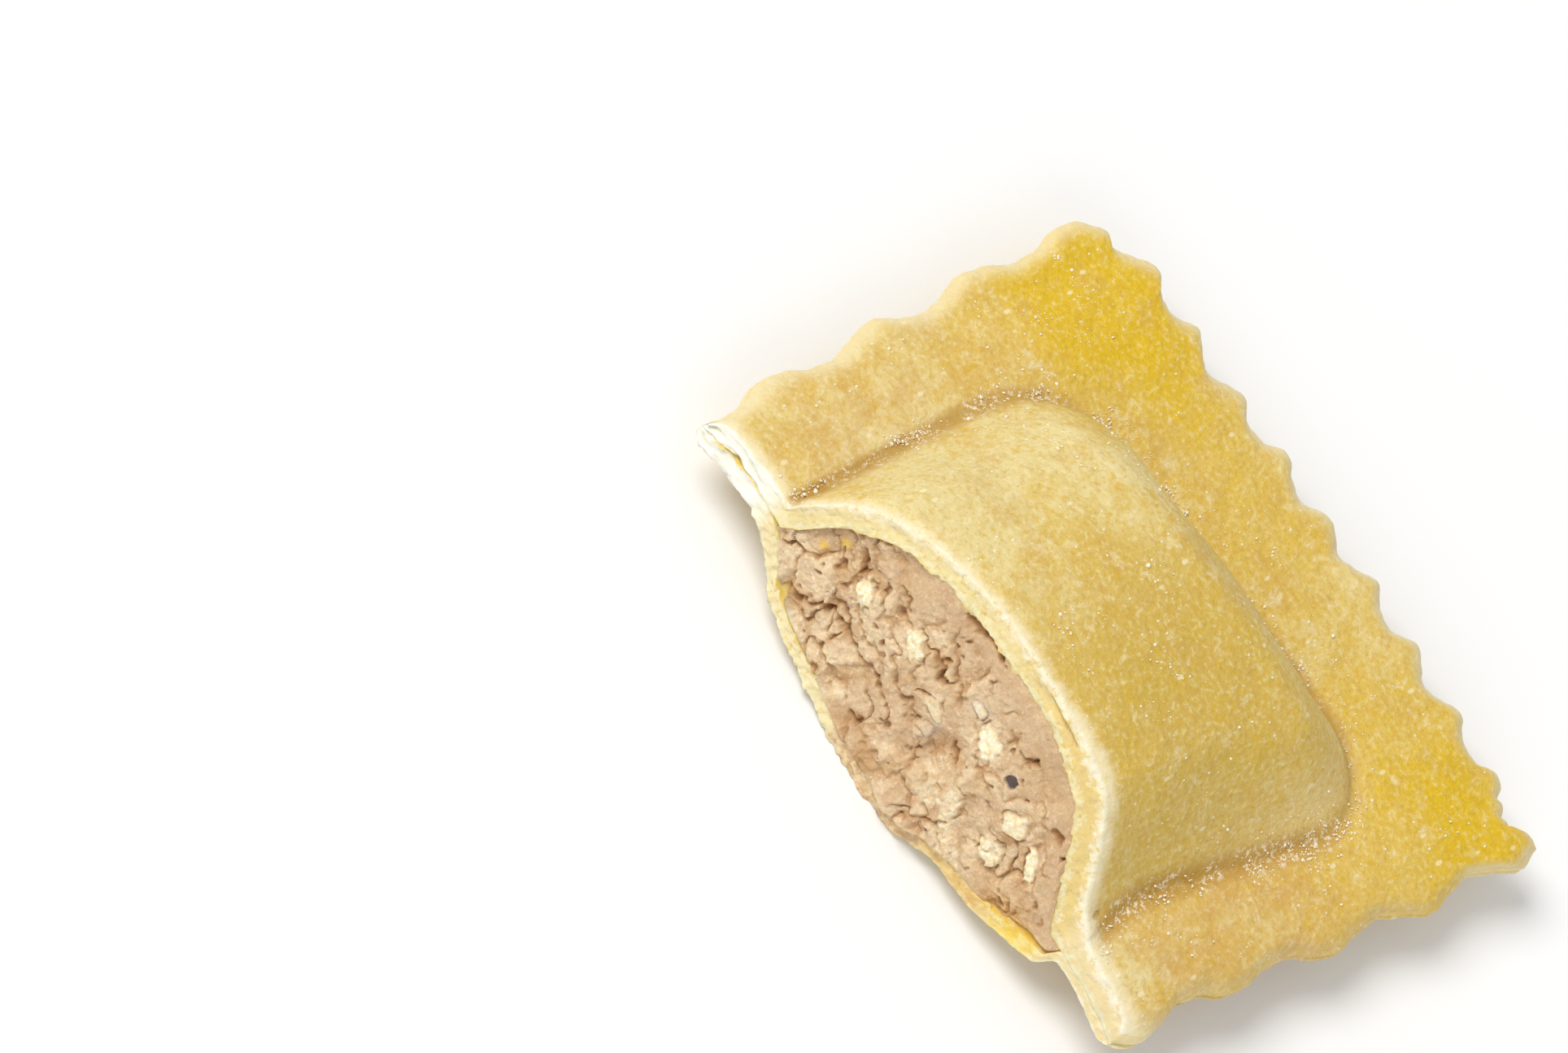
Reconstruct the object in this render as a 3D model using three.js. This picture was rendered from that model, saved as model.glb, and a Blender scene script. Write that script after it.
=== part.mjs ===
import * as THREE from "three";
import { mergeVertices } from "three/addons/utils/BufferGeometryUtils.js";

// A raviolo cut across on the bias: a domed top sheet and a shallower bottom sheet of egg dough,
// pressed together in a crimped rim on three sides, with meat filling that shows in the cut.
// Millimetres. +X runs along the cut, +Y from the cut to the far rim, +Z up.

// The outline: straight sides that lean a little to the right, and a far side that bows outwards.
const CUT_LEFT_X = -0.3;
const CUT_RIGHT_X = 44.75;
const LEFT_LEAN = 0.078; // mm across for each mm of depth
const RIGHT_LEAN = 0.15;
const RIGHT_HOLLOW = { y: 8.5, reach: 4.5, depth: 0.4 }; // the right side is pulled in a little here
const FAR_Y = 31.75;
const FAR_BOW = 0.8;
const BOW_START_X = 8;
const BOW_LENGTH = 50;
const FAR_LEFT_CORNER = new THREE.Vector2(3.0, 30.9);
const FAR_RIGHT_CORNER = new THREE.Vector2(49.3, 32.3);
const CORNER_REACH = 3.2; // how far from a corner its rounding starts

// The crimp left by the cutting wheels: one pitch on the far side, another on the two short sides.
const FAR_CRIMP = { first: 6.9, pitch: 4.7, depth: 0.56 };
const LEFT_CRIMP = { first: 5.6, pitch: 7.9, depth: 0.5 };
const RIGHT_CRIMP = { first: 1.7, pitch: 7.4, depth: 0.48 };
const CRIMP_UNEVENNESS = 0.22;
const CRIMP_FADE = 1.4; // near a corner, so that two sides meet in one point

// The pillow: its foot is a leaning rectangle, open at the cut.
const PILLOW_CENTRE_X = 22.0;
const PILLOW_LEAN = 0.19;
const PILLOW_HALF_WIDTH = 16.9;
const PILLOW_FAR_Y = 24.9;
const TOP_RISE = 8.64; // above the top of the rim
const TOP_CROWN_ACROSS = 0.86; // at the cut
const TOP_CROWN_ACROSS_FAR = 0.72;
const TOP_CROWN_POWER = 2.52;
const TOP_CROWN_ALONG = 0.14;
const TOP_SAG_TO_FAR_RIGHT = 0.12;
const TOP_TILT = 0.047;
// The dome's slopes: how wide, and how round their shoulder is; on the two sides also at the far end.
const TOP_SLOPE_LEFT = { width: 3.4, power: 3, farWidth: 6.5, farPower: 2 };
const TOP_SLOPE_RIGHT = { width: 7.3, power: 2, farWidth: 7, farPower: 1.8 };
const TOP_SLOPE_FAR = { width: 6, power: 2 };
const BOTTOM_DROP = 3.8; // below the underside of the rim
const BOTTOM_FAR_SLOPE_WIDTH = 7;
// Over 1, so that the bowl is cut off by a flat to rest on; more of it behind the cut.
const BOTTOM_FULLNESS = 1.1;
const BOTTOM_FULLNESS_BEHIND = 1.35;
const BOTTOM_FULLNESS_REACH = 9;
const BOTTOM_FLAT_SOFTNESS = 0.03;
// The bowl's two halves across: how much it shallows, how fast, and how wide its steep foot is.
const BOWL_LEFT = { fall: 0.89, power: 1, foot: 0.35 };
const BOWL_RIGHT = { fall: 0.7, power: 1.6, foot: 0.05 };
const BOWL_FOOT_FAR = 0.35;
// At the cut the bowl is pushed in at one place.
const BOWL_DENT = { x: 29.5, reach: 2.6, depth: 0.2, fadeY: 6 };

// The dough and the gaps between the pieces.
const RIM_HALF_THICKNESS = 1.2;
const RIM_EDGE_HALF_THICKNESS = 0.7;
const RIM_DROOP = 0.9;
const RIM_DROOP_REACH = 6;
const RIM_RAISE_LEFT = 0.35; // the rim's two sides stand higher at the cut than the middle
const RIM_RAISE_RIGHT = 0.95;
const RIM_RAISE_FROM = 0.3; // as a share of the way from the pillow's middle to its foot
const RIM_RAISE_REACH = 20;
const TOP_SHEET = 1.65;
const BOTTOM_SHEET = 0.95;
const BOTTOM_SHEET_LEFT = 0.65; // it is stretched thinner on the left
const STEEPEST_SHEET = 1.9; // the most that a slope adds to a sheet's upright thickness
const SEAM = 0.06; // half of the gap between the two sheets
const FILLING_GAP = 0.15;

// The cut leans back, so the bottom sheet reaches further forward than the top one.
const CUT_LEAN = Math.tan(THREE.MathUtils.degToRad(25));

// The crags of the filling, in millimetres.
const CRAG_DEPTH = 0.55;
const CRAG_SIZE = 1.9;
const CURD_RISE = 0.5;
const CURD_RADIUS = 1.0;
// Curds of cheese that stand out of the cut: [x, height on the cut].
const CURDS = [
  [13.6, 2.6],
  [17.95, 3.45],
  [25.3, 4.0],
  [30.45, 2.4],
  [30.85, 0.0],
  [33.0, 1.75],
];

// How finely the surfaces are divided.
const COLUMNS = 44;
const ROWS = 16;
const FAR_STEPS = 64;
const SIDE_STEPS = 26;
const FILLING_SIDE_COLUMNS = 3; // columns on each side that the filling leaves to the dough
const FILLING_FAR_ROWS = 2;
const FACE_ROWS = 11;
const CUT_PASSES = 6;

const { clamp, lerp, smoothstep } = THREE.MathUtils;

const leftEdge = (y) => CUT_LEFT_X + LEFT_LEAN * y;
const bell = (value, middle, reach) => Math.exp(-(((value - middle) / reach) ** 2));
const rightEdge = (y) =>
  CUT_RIGHT_X + RIGHT_LEAN * y - RIGHT_HOLLOW.depth * bell(y, RIGHT_HOLLOW.y, RIGHT_HOLLOW.reach);
const farEdge = (x) => FAR_Y + FAR_BOW * Math.sin((Math.PI * (x - BOW_START_X)) / BOW_LENGTH) ** 2;
const pillowCentre = (y) => PILLOW_CENTRE_X + PILLOW_LEAN * y;

// How far the crimp stands out of the side at a place along it.
function crimp(along, { first, pitch, depth }) {
  const unevenness = 1 + CRIMP_UNEVENNESS * Math.sin(1.9 * along);
  return depth * unevenness * Math.cos((2 * Math.PI * (along - first)) / pitch);
}

// 1 at a corner, 0 beyond its reach.
const nearCorner = (distance) => clamp(1 - distance / CORNER_REACH, 0, 1) ** 2;

// A point of the rim's plan. share runs along a side, inset is the way in from the outline, 0 to 1.
function leftPoint(share, inset) {
  const y = lerp(0, FAR_LEFT_CORNER.y, share);
  const toCorner = FAR_LEFT_CORNER.y - y;
  const fade = smoothstep(toCorner, 0, CRIMP_FADE) * (1 - inset);
  const rounding = (FAR_LEFT_CORNER.x - leftEdge(FAR_LEFT_CORNER.y)) * nearCorner(toCorner);
  return new THREE.Vector2(leftEdge(y) + rounding - crimp(y, LEFT_CRIMP) * fade, y);
}

function rightPoint(share, inset) {
  const y = lerp(0, FAR_RIGHT_CORNER.y, share);
  const toCorner = FAR_RIGHT_CORNER.y - y;
  const fade = smoothstep(toCorner, 0, CRIMP_FADE) * (1 - inset);
  const rounding = (FAR_RIGHT_CORNER.x - rightEdge(FAR_RIGHT_CORNER.y)) * nearCorner(toCorner);
  return new THREE.Vector2(rightEdge(y) + rounding + crimp(y, RIGHT_CRIMP) * fade, y);
}

function farPoint(share, inset) {
  const x = lerp(FAR_LEFT_CORNER.x, FAR_RIGHT_CORNER.x, share);
  const toLeft = x - FAR_LEFT_CORNER.x;
  const toRight = FAR_RIGHT_CORNER.x - x;
  const fade = smoothstep(Math.min(toLeft, toRight), 0, CRIMP_FADE) * (1 - inset);
  const rounding =
    (FAR_LEFT_CORNER.y - farEdge(FAR_LEFT_CORNER.x)) * nearCorner(toLeft) +
    (FAR_RIGHT_CORNER.y - farEdge(FAR_RIGHT_CORNER.x)) * nearCorner(toRight);
  return new THREE.Vector2(x, farEdge(x) + rounding + crimp(x, FAR_CRIMP) * fade);
}

// Distances inside the pillow's foot, across and along; negative outside it.
const insideAcross = (x, y) => PILLOW_HALF_WIDTH - Math.abs(x - pillowCentre(y));
const insideAlong = (y) => PILLOW_FAR_Y - y;

const foldAcross = (x, y) => (x - pillowCentre(y)) / PILLOW_HALF_WIDTH;
const foldAlong = (y) => clamp(y / PILLOW_FAR_Y, 0, 1);

// How far inside the pillow's border the dome's foot runs on each side.
const leftFoot = (y) => 1.5 * clamp(1 - y / 15, 0, 1);
const rightFoot = (y) => 0.44 + 1.7 * smoothstep(y, 0, 7) - 0.06 * y;
const farFoot = (across) => 1.19 - 0.92 * clamp(across, -1, 1);

// The share of the dome's rise at a place: 0 at its foot, 1 on its top, with rounded corners.
function topSlopes(x, y, across, along) {
  const side = across < 0 ? TOP_SLOPE_LEFT : TOP_SLOPE_RIGHT;
  const foot = across < 0 ? leftFoot(y) : rightFoot(y);
  const width = lerp(side.width, side.farWidth, along);
  const outAcross = 1 - clamp((insideAcross(x, y) - foot) / width, 0, 1);
  const outAlong = 1 - clamp((insideAlong(y) - farFoot(across)) / TOP_SLOPE_FAR.width, 0, 1);
  const out = Math.hypot(outAcross, outAlong);
  if (out === 0) return 1;
  const sidePower = lerp(side.power, side.farPower, along);
  const power = lerp(sidePower, TOP_SLOPE_FAR.power, (outAlong / out) ** 2);
  return 1 - Math.min(out, 1) ** power;
}

function topRise(x, y) {
  const [across, along] = [foldAcross(x, y), foldAlong(y)];
  const crown =
    1 -
    lerp(TOP_CROWN_ACROSS, TOP_CROWN_ACROSS_FAR, along) * Math.abs(across) ** TOP_CROWN_POWER -
    TOP_CROWN_ALONG * along ** 2 -
    TOP_SAG_TO_FAR_RIGHT * across * along +
    TOP_TILT * across;
  return TOP_RISE * crown * topSlopes(x, y, across, along);
}

// The lesser of a value and 1, rounded where they meet and exactly 1 beyond that.
function softCap(value) {
  const blend = clamp((1 + BOTTOM_FLAT_SOFTNESS - value) / (2 * BOTTOM_FLAT_SOFTNESS), 0, 1);
  return lerp(1, value, blend) - BOTTOM_FLAT_SOFTNESS * blend * (1 - blend);
}

function bottomDrop(x, y) {
  const across = foldAcross(x, y);
  const half = across < 0 ? BOWL_LEFT : BOWL_RIGHT;
  const outward = Math.min(Math.abs(across), 1);
  const foot = lerp(half.foot, BOWL_FOOT_FAR, foldAlong(y));
  const bowl = (1 - half.fall * outward ** half.power) * smoothstep(1 - outward, 0, foot);
  const dentFade = 1 - smoothstep(y, 0, BOWL_DENT.fadeY);
  const dent = BOWL_DENT.depth * bell(x, BOWL_DENT.x, BOWL_DENT.reach) * dentFade;
  const far = smoothstep(insideAlong(y), 0, BOTTOM_FAR_SLOPE_WIDTH);
  const behind = smoothstep(y, 0, BOTTOM_FULLNESS_REACH);
  const fullness = lerp(BOTTOM_FULLNESS, BOTTOM_FULLNESS_BEHIND, behind);
  // Down to one level, also where the rim's level above it is raised.
  const toFlat = BOTTOM_DROP + rimLevel(x, y);
  return toFlat * softCap(((BOTTOM_DROP * fullness) / toFlat) * (bowl - dent) * far);
}

// The upright thickness of a sheet of the given real thickness on the slope of a height function.
function uprightThickness(thickness, height, x, y) {
  const step = 0.2;
  const slopeX = (height(x + step, y) - height(x - step, y)) / (2 * step);
  const slopeY = (height(x, y + step) - height(x, y - step)) / (2 * step);
  return thickness * Math.min(Math.hypot(1, slopeX, slopeY), STEEPEST_SHEET);
}

// The level that the sheets meet at: higher at the cut's two ends, and lower at the rim's edge.
function rimLevel(x, y) {
  const across = foldAcross(x, y);
  const raise = across < 0 ? RIM_RAISE_LEFT : RIM_RAISE_RIGHT;
  const sideways = smoothstep(Math.abs(across), RIM_RAISE_FROM, 1);
  const raised = raise * sideways * (1 - smoothstep(y, 0, RIM_RAISE_REACH));
  const outside = Math.max(-insideAcross(x, y), -insideAlong(y) / 2, 0);
  return raised - RIM_DROOP * Math.min(outside / RIM_DROOP_REACH, 1) ** 2;
}

function sheetThickness(pressed, full, height, x, y, most) {
  const swell = clamp(height(x, y) / (most / 2), 0, 1);
  return uprightThickness(lerp(pressed, full, swell), height, x, y);
}

// The four faces of the two sheets. half is half of the rim's thickness at that place.
const FACES = {
  topOuter: (x, y, half) => rimLevel(x, y) + half + topRise(x, y),
  topInner(x, y) {
    const thickness = sheetThickness(RIM_HALF_THICKNESS, TOP_SHEET, topRise, x, y, TOP_RISE);
    return rimLevel(x, y) + Math.max(SEAM, RIM_HALF_THICKNESS + topRise(x, y) - thickness);
  },
  bottomInner(x, y) {
    const full = lerp(BOTTOM_SHEET_LEFT, BOTTOM_SHEET, smoothstep(foldAcross(x, y), -0.8, -0.1));
    const thickness = sheetThickness(RIM_HALF_THICKNESS, full, bottomDrop, x, y, BOTTOM_DROP);
    return rimLevel(x, y) - Math.max(SEAM, RIM_HALF_THICKNESS + bottomDrop(x, y) - thickness);
  },
  bottomOuter: (x, y, half) => rimLevel(x, y) - half - bottomDrop(x, y),
};

// Where a line of plan points, given by its start, has to start for its first point to lie on the cut.
function cutStart(face, planAt, half = RIM_HALF_THICKNESS) {
  let y = 0;
  for (let pass = 0; pass < CUT_PASSES; pass++) {
    const p = planAt(y);
    y = FACES[face](p.x, p.y, half) * CUT_LEAN;
  }
  return y;
}

const onFace = (face, p, half = RIM_HALF_THICKNESS) =>
  new THREE.Vector3(p.x, p.y, FACES[face](p.x, p.y, half));

// Rows close up towards the far slope of the pillow.
const rowShare = (row) => Math.sin((Math.PI / 2) * (row / ROWS)) * 0.35 + 0.65 * (row / ROWS);

function pillowGrid(face) {
  const grid = Array.from({ length: ROWS + 1 }, () => []);
  for (let column = 0; column <= COLUMNS; column++) {
    const side = lerp(-PILLOW_HALF_WIDTH, PILLOW_HALF_WIDTH, column / COLUMNS);
    const planAt = (y) => new THREE.Vector2(pillowCentre(y) + side, y);
    const start = cutStart(face, planAt);
    grid.forEach((line, row) => {
      line.push(onFace(face, planAt(lerp(start, PILLOW_FAR_Y, rowShare(row)))));
    });
  }
  return grid;
}

// A ring of the rim, from the cut up the left side, along the far side and back down the right.
// Between 0 on the outline and 1 on the pillow's foot, inset says where the ring runs.
function rimRing(face, inset, sideSteps, farSteps, half) {
  const places = [];
  for (let i = 0; i < sideSteps; i++) places.push([leftPoint, i / sideSteps, -1]);
  for (let i = 0; i < farSteps; i++) places.push([farPoint, i / farSteps, 0]);
  for (let i = 0; i <= sideSteps; i++) places.push([rightPoint, 1 - i / sideSteps, 1]);
  return places.map(([point, share, side], k) => {
    const planAt = (start) => {
      const outer = point(share, inset);
      outer.y += start;
      const y = side ? lerp(start, PILLOW_FAR_Y, rowShare(share * ROWS)) : PILLOW_FAR_Y;
      const across = side || lerp(-1, 1, share);
      const foot = new THREE.Vector2(pillowCentre(y) + across * PILLOW_HALF_WIDTH, y);
      return outer.lerp(foot, inset);
    };
    const onCut = k === 0 || k === places.length - 1;
    return onFace(face, planAt(onCut ? cutStart(face, planAt, half) : 0), half);
  });
}

// The pillow's border in the order of a rim ring.
function pillowBorder(grid) {
  const border = [];
  for (let row = 0; row < ROWS; row++) border.push(grid[row][0]);
  border.push(...grid[ROWS]);
  for (let row = ROWS - 1; row >= 0; row--) border.push(grid[row][COLUMNS]);
  return border;
}

// Triangles between two lines of points that run the same way, however many points each has.
function zip(outer, inner, triangles) {
  let i = 0;
  let j = 0;
  while (i < outer.length - 1 || j < inner.length - 1) {
    const outerNext = (i + 1) / (outer.length - 1);
    const innerNext = (j + 1) / (inner.length - 1);
    if (outerNext <= innerNext) triangles.push([outer[i], outer[++i], inner[j]]);
    else triangles.push([outer[i], inner[j + 1], inner[j++]]);
  }
}

function quads(grid, triangles) {
  for (let row = 0; row < grid.length - 1; row++) {
    for (let column = 0; column < grid[row].length - 1; column++) {
      const [a, b] = [grid[row][column], grid[row][column + 1]];
      const [c, d] = [grid[row + 1][column + 1], grid[row + 1][column]];
      triangles.push([a, b, c], [a, c, d]);
    }
  }
}

// One face of a sheet as triangles that face up, and its border, anticlockwise from above.
function sheetFace(face) {
  const grid = pillowGrid(face);
  const foot = pillowBorder(grid);
  const outward = face.endsWith("Outer");
  const edgeHalf = outward ? RIM_EDGE_HALF_THICKNESS : RIM_HALF_THICKNESS;
  const middle = rimRing(face, 0.5, ROWS, COLUMNS, RIM_HALF_THICKNESS);
  const shoulder = rimRing(face, 0.2, ROWS, COLUMNS, RIM_HALF_THICKNESS);
  const leftAndFar = SIDE_STEPS + FAR_STEPS;
  const outline = rimRing(face, 0, SIDE_STEPS, FAR_STEPS, edgeHalf);
  const triangles = [];
  quads(grid, triangles);
  quads([middle, foot], triangles);
  quads([shoulder, middle], triangles);
  // Each side is zipped by itself, so that the corners stay joined to the corners.
  const stretches = [
    [0, SIDE_STEPS, 0, ROWS],
    [SIDE_STEPS, leftAndFar, ROWS, ROWS + COLUMNS],
    [leftAndFar, leftAndFar + SIDE_STEPS, ROWS + COLUMNS, 2 * ROWS + COLUMNS],
  ];
  for (const [from, to, innerFrom, innerTo] of stretches) {
    zip(outline.slice(from, to + 1), shoulder.slice(innerFrom, innerTo + 1), triangles);
  }
  // The rings run clockwise seen from above, so the quads and zips above face down.
  const facingUp = triangles.map(([a, b, c], k) => (k < 2 * ROWS * COLUMNS ? [a, b, c] : [a, c, b]));
  const leftCut = [outline[0], shoulder[0], middle[0]];
  const rightCut = [middle.at(-1), shoulder.at(-1)];
  const border = [...leftCut, ...grid[0], ...rightCut, ...outline.toReversed().slice(0, -1)];
  return { triangles: facingUp, border };
}

// Closes the space between an upper and a lower face that are divided alike.
function closeBetween(upper, lower) {
  const triangles = [...upper.triangles, ...lower.triangles.map(([a, b, c]) => [a, c, b])];
  const count = upper.border.length;
  for (let k = 0; k < count; k++) {
    const next = (k + 1) % count;
    const [a, b] = [lower.border[k], lower.border[next]];
    const [c, d] = [upper.border[next], upper.border[k]];
    triangles.push([a, b, c], [a, c, d]);
  }
  return triangles;
}

// Smooth noise between -1 and 1, the same on every run.
function lattice(i, j) {
  const wave = Math.sin(i * 127.1 + j * 311.7) * 43758.5453;
  return 2 * (wave - Math.floor(wave)) - 1;
}

function noise(x, y) {
  const [i, j] = [Math.floor(x), Math.floor(y)];
  const [u, v] = [smoothstep(x - i, 0, 1), smoothstep(y - j, 0, 1)];
  const low = lerp(lattice(i, j), lattice(i + 1, j), u);
  const high = lerp(lattice(i, j + 1), lattice(i + 1, j + 1), u);
  return lerp(low, high, v);
}

// How far the filling's cut face stands out at a place on it.
function crag(x, height) {
  const lumps = noise(x / CRAG_SIZE, height / CRAG_SIZE) + 0.5 * noise((2 * x) / CRAG_SIZE + 9, height);
  let rise = CRAG_DEPTH * Math.min(lumps, 0.45);
  for (const [curdX, curdHeight] of CURDS) {
    const away = Math.hypot(x - curdX, height - curdHeight) / CURD_RADIUS;
    rise += CURD_RISE * Math.exp(-away * away);
  }
  return rise;
}

// The filling: the space between the inner faces, a little smaller, with a craggy face at the cut.
function fillingTriangles() {
  const columns = [FILLING_SIDE_COLUMNS, COLUMNS - FILLING_SIDE_COLUMNS + 1];
  const rows = ROWS - FILLING_FAR_ROWS + 1;
  const shifted = (grid, by) =>
    grid.slice(0, rows).map((line) =>
      line.slice(...columns).map((p) => new THREE.Vector3(p.x, p.y, p.z + by)),
    );
  const upper = shifted(pillowGrid("topInner"), -FILLING_GAP);
  const lower = shifted(pillowGrid("bottomInner"), FILLING_GAP);
  const triangles = [];
  quads(upper, triangles);
  quads(lower.map((line) => line.toReversed()), triangles);
  quads([lower.at(-1).toReversed(), upper.at(-1).toReversed()], triangles);
  const outward = new THREE.Vector3(0, -1, CUT_LEAN).normalize();
  const face = [];
  for (let row = 0; row <= FACE_ROWS; row++) {
    face.push(
      lower[0].map((low, column) => {
        const p = low.clone().lerp(upper[0][column], row / FACE_ROWS);
        const inner = row > 0 && row < FACE_ROWS && column > 0 && column < lower[0].length - 1;
        return inner ? p.addScaledVector(outward, crag(p.x, p.z)) : p;
      }),
    );
  }
  quads(face, triangles);
  // Side walls: one quad for each row, and a fan of triangles where a wall meets the face.
  for (const end of [0, -1]) {
    const wall = lower.map((line, row) => [line.at(end), upper[row].at(end)]);
    const wallTriangles = [];
    quads(wall.slice(1), wallTriangles);
    zip(face.map((line) => line.at(end)), wall[1], wallTriangles);
    for (const [a, b, c] of wallTriangles) triangles.push(end === 0 ? [a, b, c] : [a, c, b]);
  }
  return triangles;
}

function meshOf(name, triangles, material) {
  const points = triangles.flat();
  const geometry = new THREE.BufferGeometry().setFromPoints(points);
  const mesh = new THREE.Mesh(mergeVertices(geometry, 1e-4), material);
  mesh.geometry.computeVertexNormals();
  mesh.name = name;
  return mesh;
}

const dough = new THREE.MeshStandardMaterial({ color: 0xdcc07c, roughness: 0.6, metalness: 0 });
const paleDough = new THREE.MeshStandardMaterial({ color: 0xe6cf96, roughness: 0.65, metalness: 0 });
const meat = new THREE.MeshStandardMaterial({ color: 0xc9a47c, roughness: 0.7, metalness: 0 });

const pieces = [
  meshOf("top_sheet", closeBetween(sheetFace("topOuter"), sheetFace("topInner")), dough),
  meshOf("bottom_sheet", closeBetween(sheetFace("bottomInner"), sheetFace("bottomOuter")), paleDough),
  meshOf("filling", fillingTriangles(), meat),
];

const raviolo = new THREE.Group();
raviolo.add(...pieces);

// The origin is at the middle of the foot of the whole piece's box.
const box = new THREE.Box3().setFromObject(raviolo, true);
const middle = box.getCenter(new THREE.Vector3());
for (const piece of pieces) piece.geometry.translate(-middle.x, -middle.y, -box.min.z);

export default raviolo;
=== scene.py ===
"""A cut raviolo of egg dough with a coarse meat filling, on a plain pale floor.

The solids of the frame give the main shapes. Each is replaced here by a finer mesh of the same
form, with the relief of the dough, the torn edge of the cut and the crumbs of the filling.
Lengths are in millimetres until a mesh is made. +X runs along the cut, +Y away from it, +Z up.
"""
import math

import bpy
import numpy as np
from mathutils import Matrix, Vector


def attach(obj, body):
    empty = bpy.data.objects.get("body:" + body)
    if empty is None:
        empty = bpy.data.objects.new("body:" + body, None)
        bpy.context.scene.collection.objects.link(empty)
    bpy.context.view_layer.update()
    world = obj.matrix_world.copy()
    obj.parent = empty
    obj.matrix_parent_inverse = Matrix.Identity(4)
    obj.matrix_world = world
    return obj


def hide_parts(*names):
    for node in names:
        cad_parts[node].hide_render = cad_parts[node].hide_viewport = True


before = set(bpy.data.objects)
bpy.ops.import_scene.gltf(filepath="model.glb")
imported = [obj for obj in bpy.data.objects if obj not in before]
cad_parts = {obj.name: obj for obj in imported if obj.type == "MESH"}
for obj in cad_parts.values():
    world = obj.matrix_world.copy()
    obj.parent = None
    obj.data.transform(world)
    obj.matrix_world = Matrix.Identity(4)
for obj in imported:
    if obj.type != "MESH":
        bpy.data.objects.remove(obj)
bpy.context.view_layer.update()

MM = 0.001
TAU = 2 * math.pi

# The solids' origin in the coordinates that the shape is drawn in.
ORIGIN = np.array([24.731, 15.437, -5.000])

# The outline.
CUT_LEFT_X, CUT_RIGHT_X = -0.3, 44.75
LEFT_LEAN, RIGHT_LEAN = 0.078, 0.15
RIGHT_HOLLOW = (8.5, 4.5, 0.4)  # y, reach, depth
FAR_Y, FAR_BOW, BOW_START_X, BOW_LENGTH = 31.75, 0.8, 8.0, 50.0
FAR_LEFT_CORNER, FAR_RIGHT_CORNER = (3.0, 30.9), (49.3, 32.3)
CORNER_REACH = 3.2
FAR_CRIMP = (6.9, 4.7, 0.56)  # first tip, pitch, depth
LEFT_CRIMP = (5.6, 7.9, 0.5)
RIGHT_CRIMP = (1.7, 7.4, 0.48)
CRIMP_UNEVENNESS, CRIMP_SHARPNESS = 0.22, 0.12
CRIMP_FADE = 1.4
# A place where the far edge has crumbled: x, half-width and depth.
BROKEN_NOTCHES = [(45.5, 0.28, 0.45), (46.6, 0.2, 0.25), (47.5, 0.22, 0.3)]

# The pillow.
PILLOW_CENTRE_X, PILLOW_LEAN, PILLOW_HALF_WIDTH, PILLOW_FAR_Y = 22.0, 0.19, 16.9, 24.9
TOP_RISE = 8.64
TOP_CROWN_ACROSS, TOP_CROWN_ACROSS_FAR, TOP_CROWN_POWER, TOP_CROWN_ALONG = 0.86, 0.72, 2.52, 0.14
TOP_SAG, TOP_TILT = 0.12, 0.047
# The dome's slopes: width and roundness, for the two sides also at the far end.
TOP_SLOPE_LEFT, TOP_SLOPE_RIGHT, TOP_SLOPE_FAR = (3.4, 3.0, 6.5, 2.0), (7.3, 2.0, 7.0, 1.8), (6.0, 2.0)
BOTTOM_DROP, BOTTOM_FAR_SLOPE_WIDTH = 3.8, 7.0
BOTTOM_FULLNESS, BOTTOM_FULLNESS_BEHIND, BOTTOM_FULLNESS_REACH = 1.1, 1.35, 9.0
BOTTOM_FLAT_SOFTNESS = 0.03
BOWL_LEFT, BOWL_RIGHT, BOWL_FOOT_FAR = (0.89, 1.0, 0.35), (0.7, 1.6, 0.05), 0.35
# Where the bowl is shallower or deeper than its curve: x, reach, depth, and how far back it fades.
BOWL_DENTS = [(29.5, 2.6, 0.2, 6.0), (12.5, 3.5, -0.07, 8.0)]

# The dough.
RIM_HALF, RIM_EDGE_HALF, RIM_BEVEL = 1.2, 0.62, 1.3
RIM_DROOP, RIM_DROOP_REACH = 0.9, 6.0
RIM_RAISE_LEFT, RIM_RAISE_RIGHT, RIM_RAISE_FROM, RIM_RAISE_REACH = 0.35, 0.95, 0.3, 20.0
TOP_SHEET, BOTTOM_SHEET, BOTTOM_SHEET_LEFT = 1.65, 0.95, 0.65
STEEPEST_SHEET, SEAM, SEAM_DROP = 1.9, 0.06, 0.55
# The sheets part at the cut's left end: by how much, and x, y and reach both ways.
PARTED = [(0.24, 2.6, 0.0, 0.72, 1.1)]
TOUCHING = 0.066
# How much thicker the top sheet is at the cut in places.
THICKER = [(0.32, 8.8, 0, 2.4, 5), (-0.34, 14.2, 0, 3.0, 9), (0.42, 31.0, 0, 2.3, 9)]
THICKER_ON_RIGHT = 0.25
CUT_LEAN = math.tan(math.radians(25))
CUT_PASSES = 7

# How finely the sheets are divided.
COLUMNS, ROWS, RINGS, EDGE_ROWS = 260, 108, 24, 14
MOST_DISTANCE = 7.0  # from the outline, as far as it matters


# Noise, the same on every run.

def hashed(i, j, k, seed):
    """A number from 0 to 1 for each whole-number place."""
    h = (i * 374761393 + j * 668265263 + k * 1103515245 + seed * 974634777) & 0xFFFFFFFF
    h = ((h ^ (h >> 13)) * 1274126177) & 0xFFFFFFFF
    h = ((h ^ (h >> 16)) * 2246822519) & 0xFFFFFFFF
    return ((h ^ (h >> 15)) & 0xFFFFFF) / float(0xFFFFFF)


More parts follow.
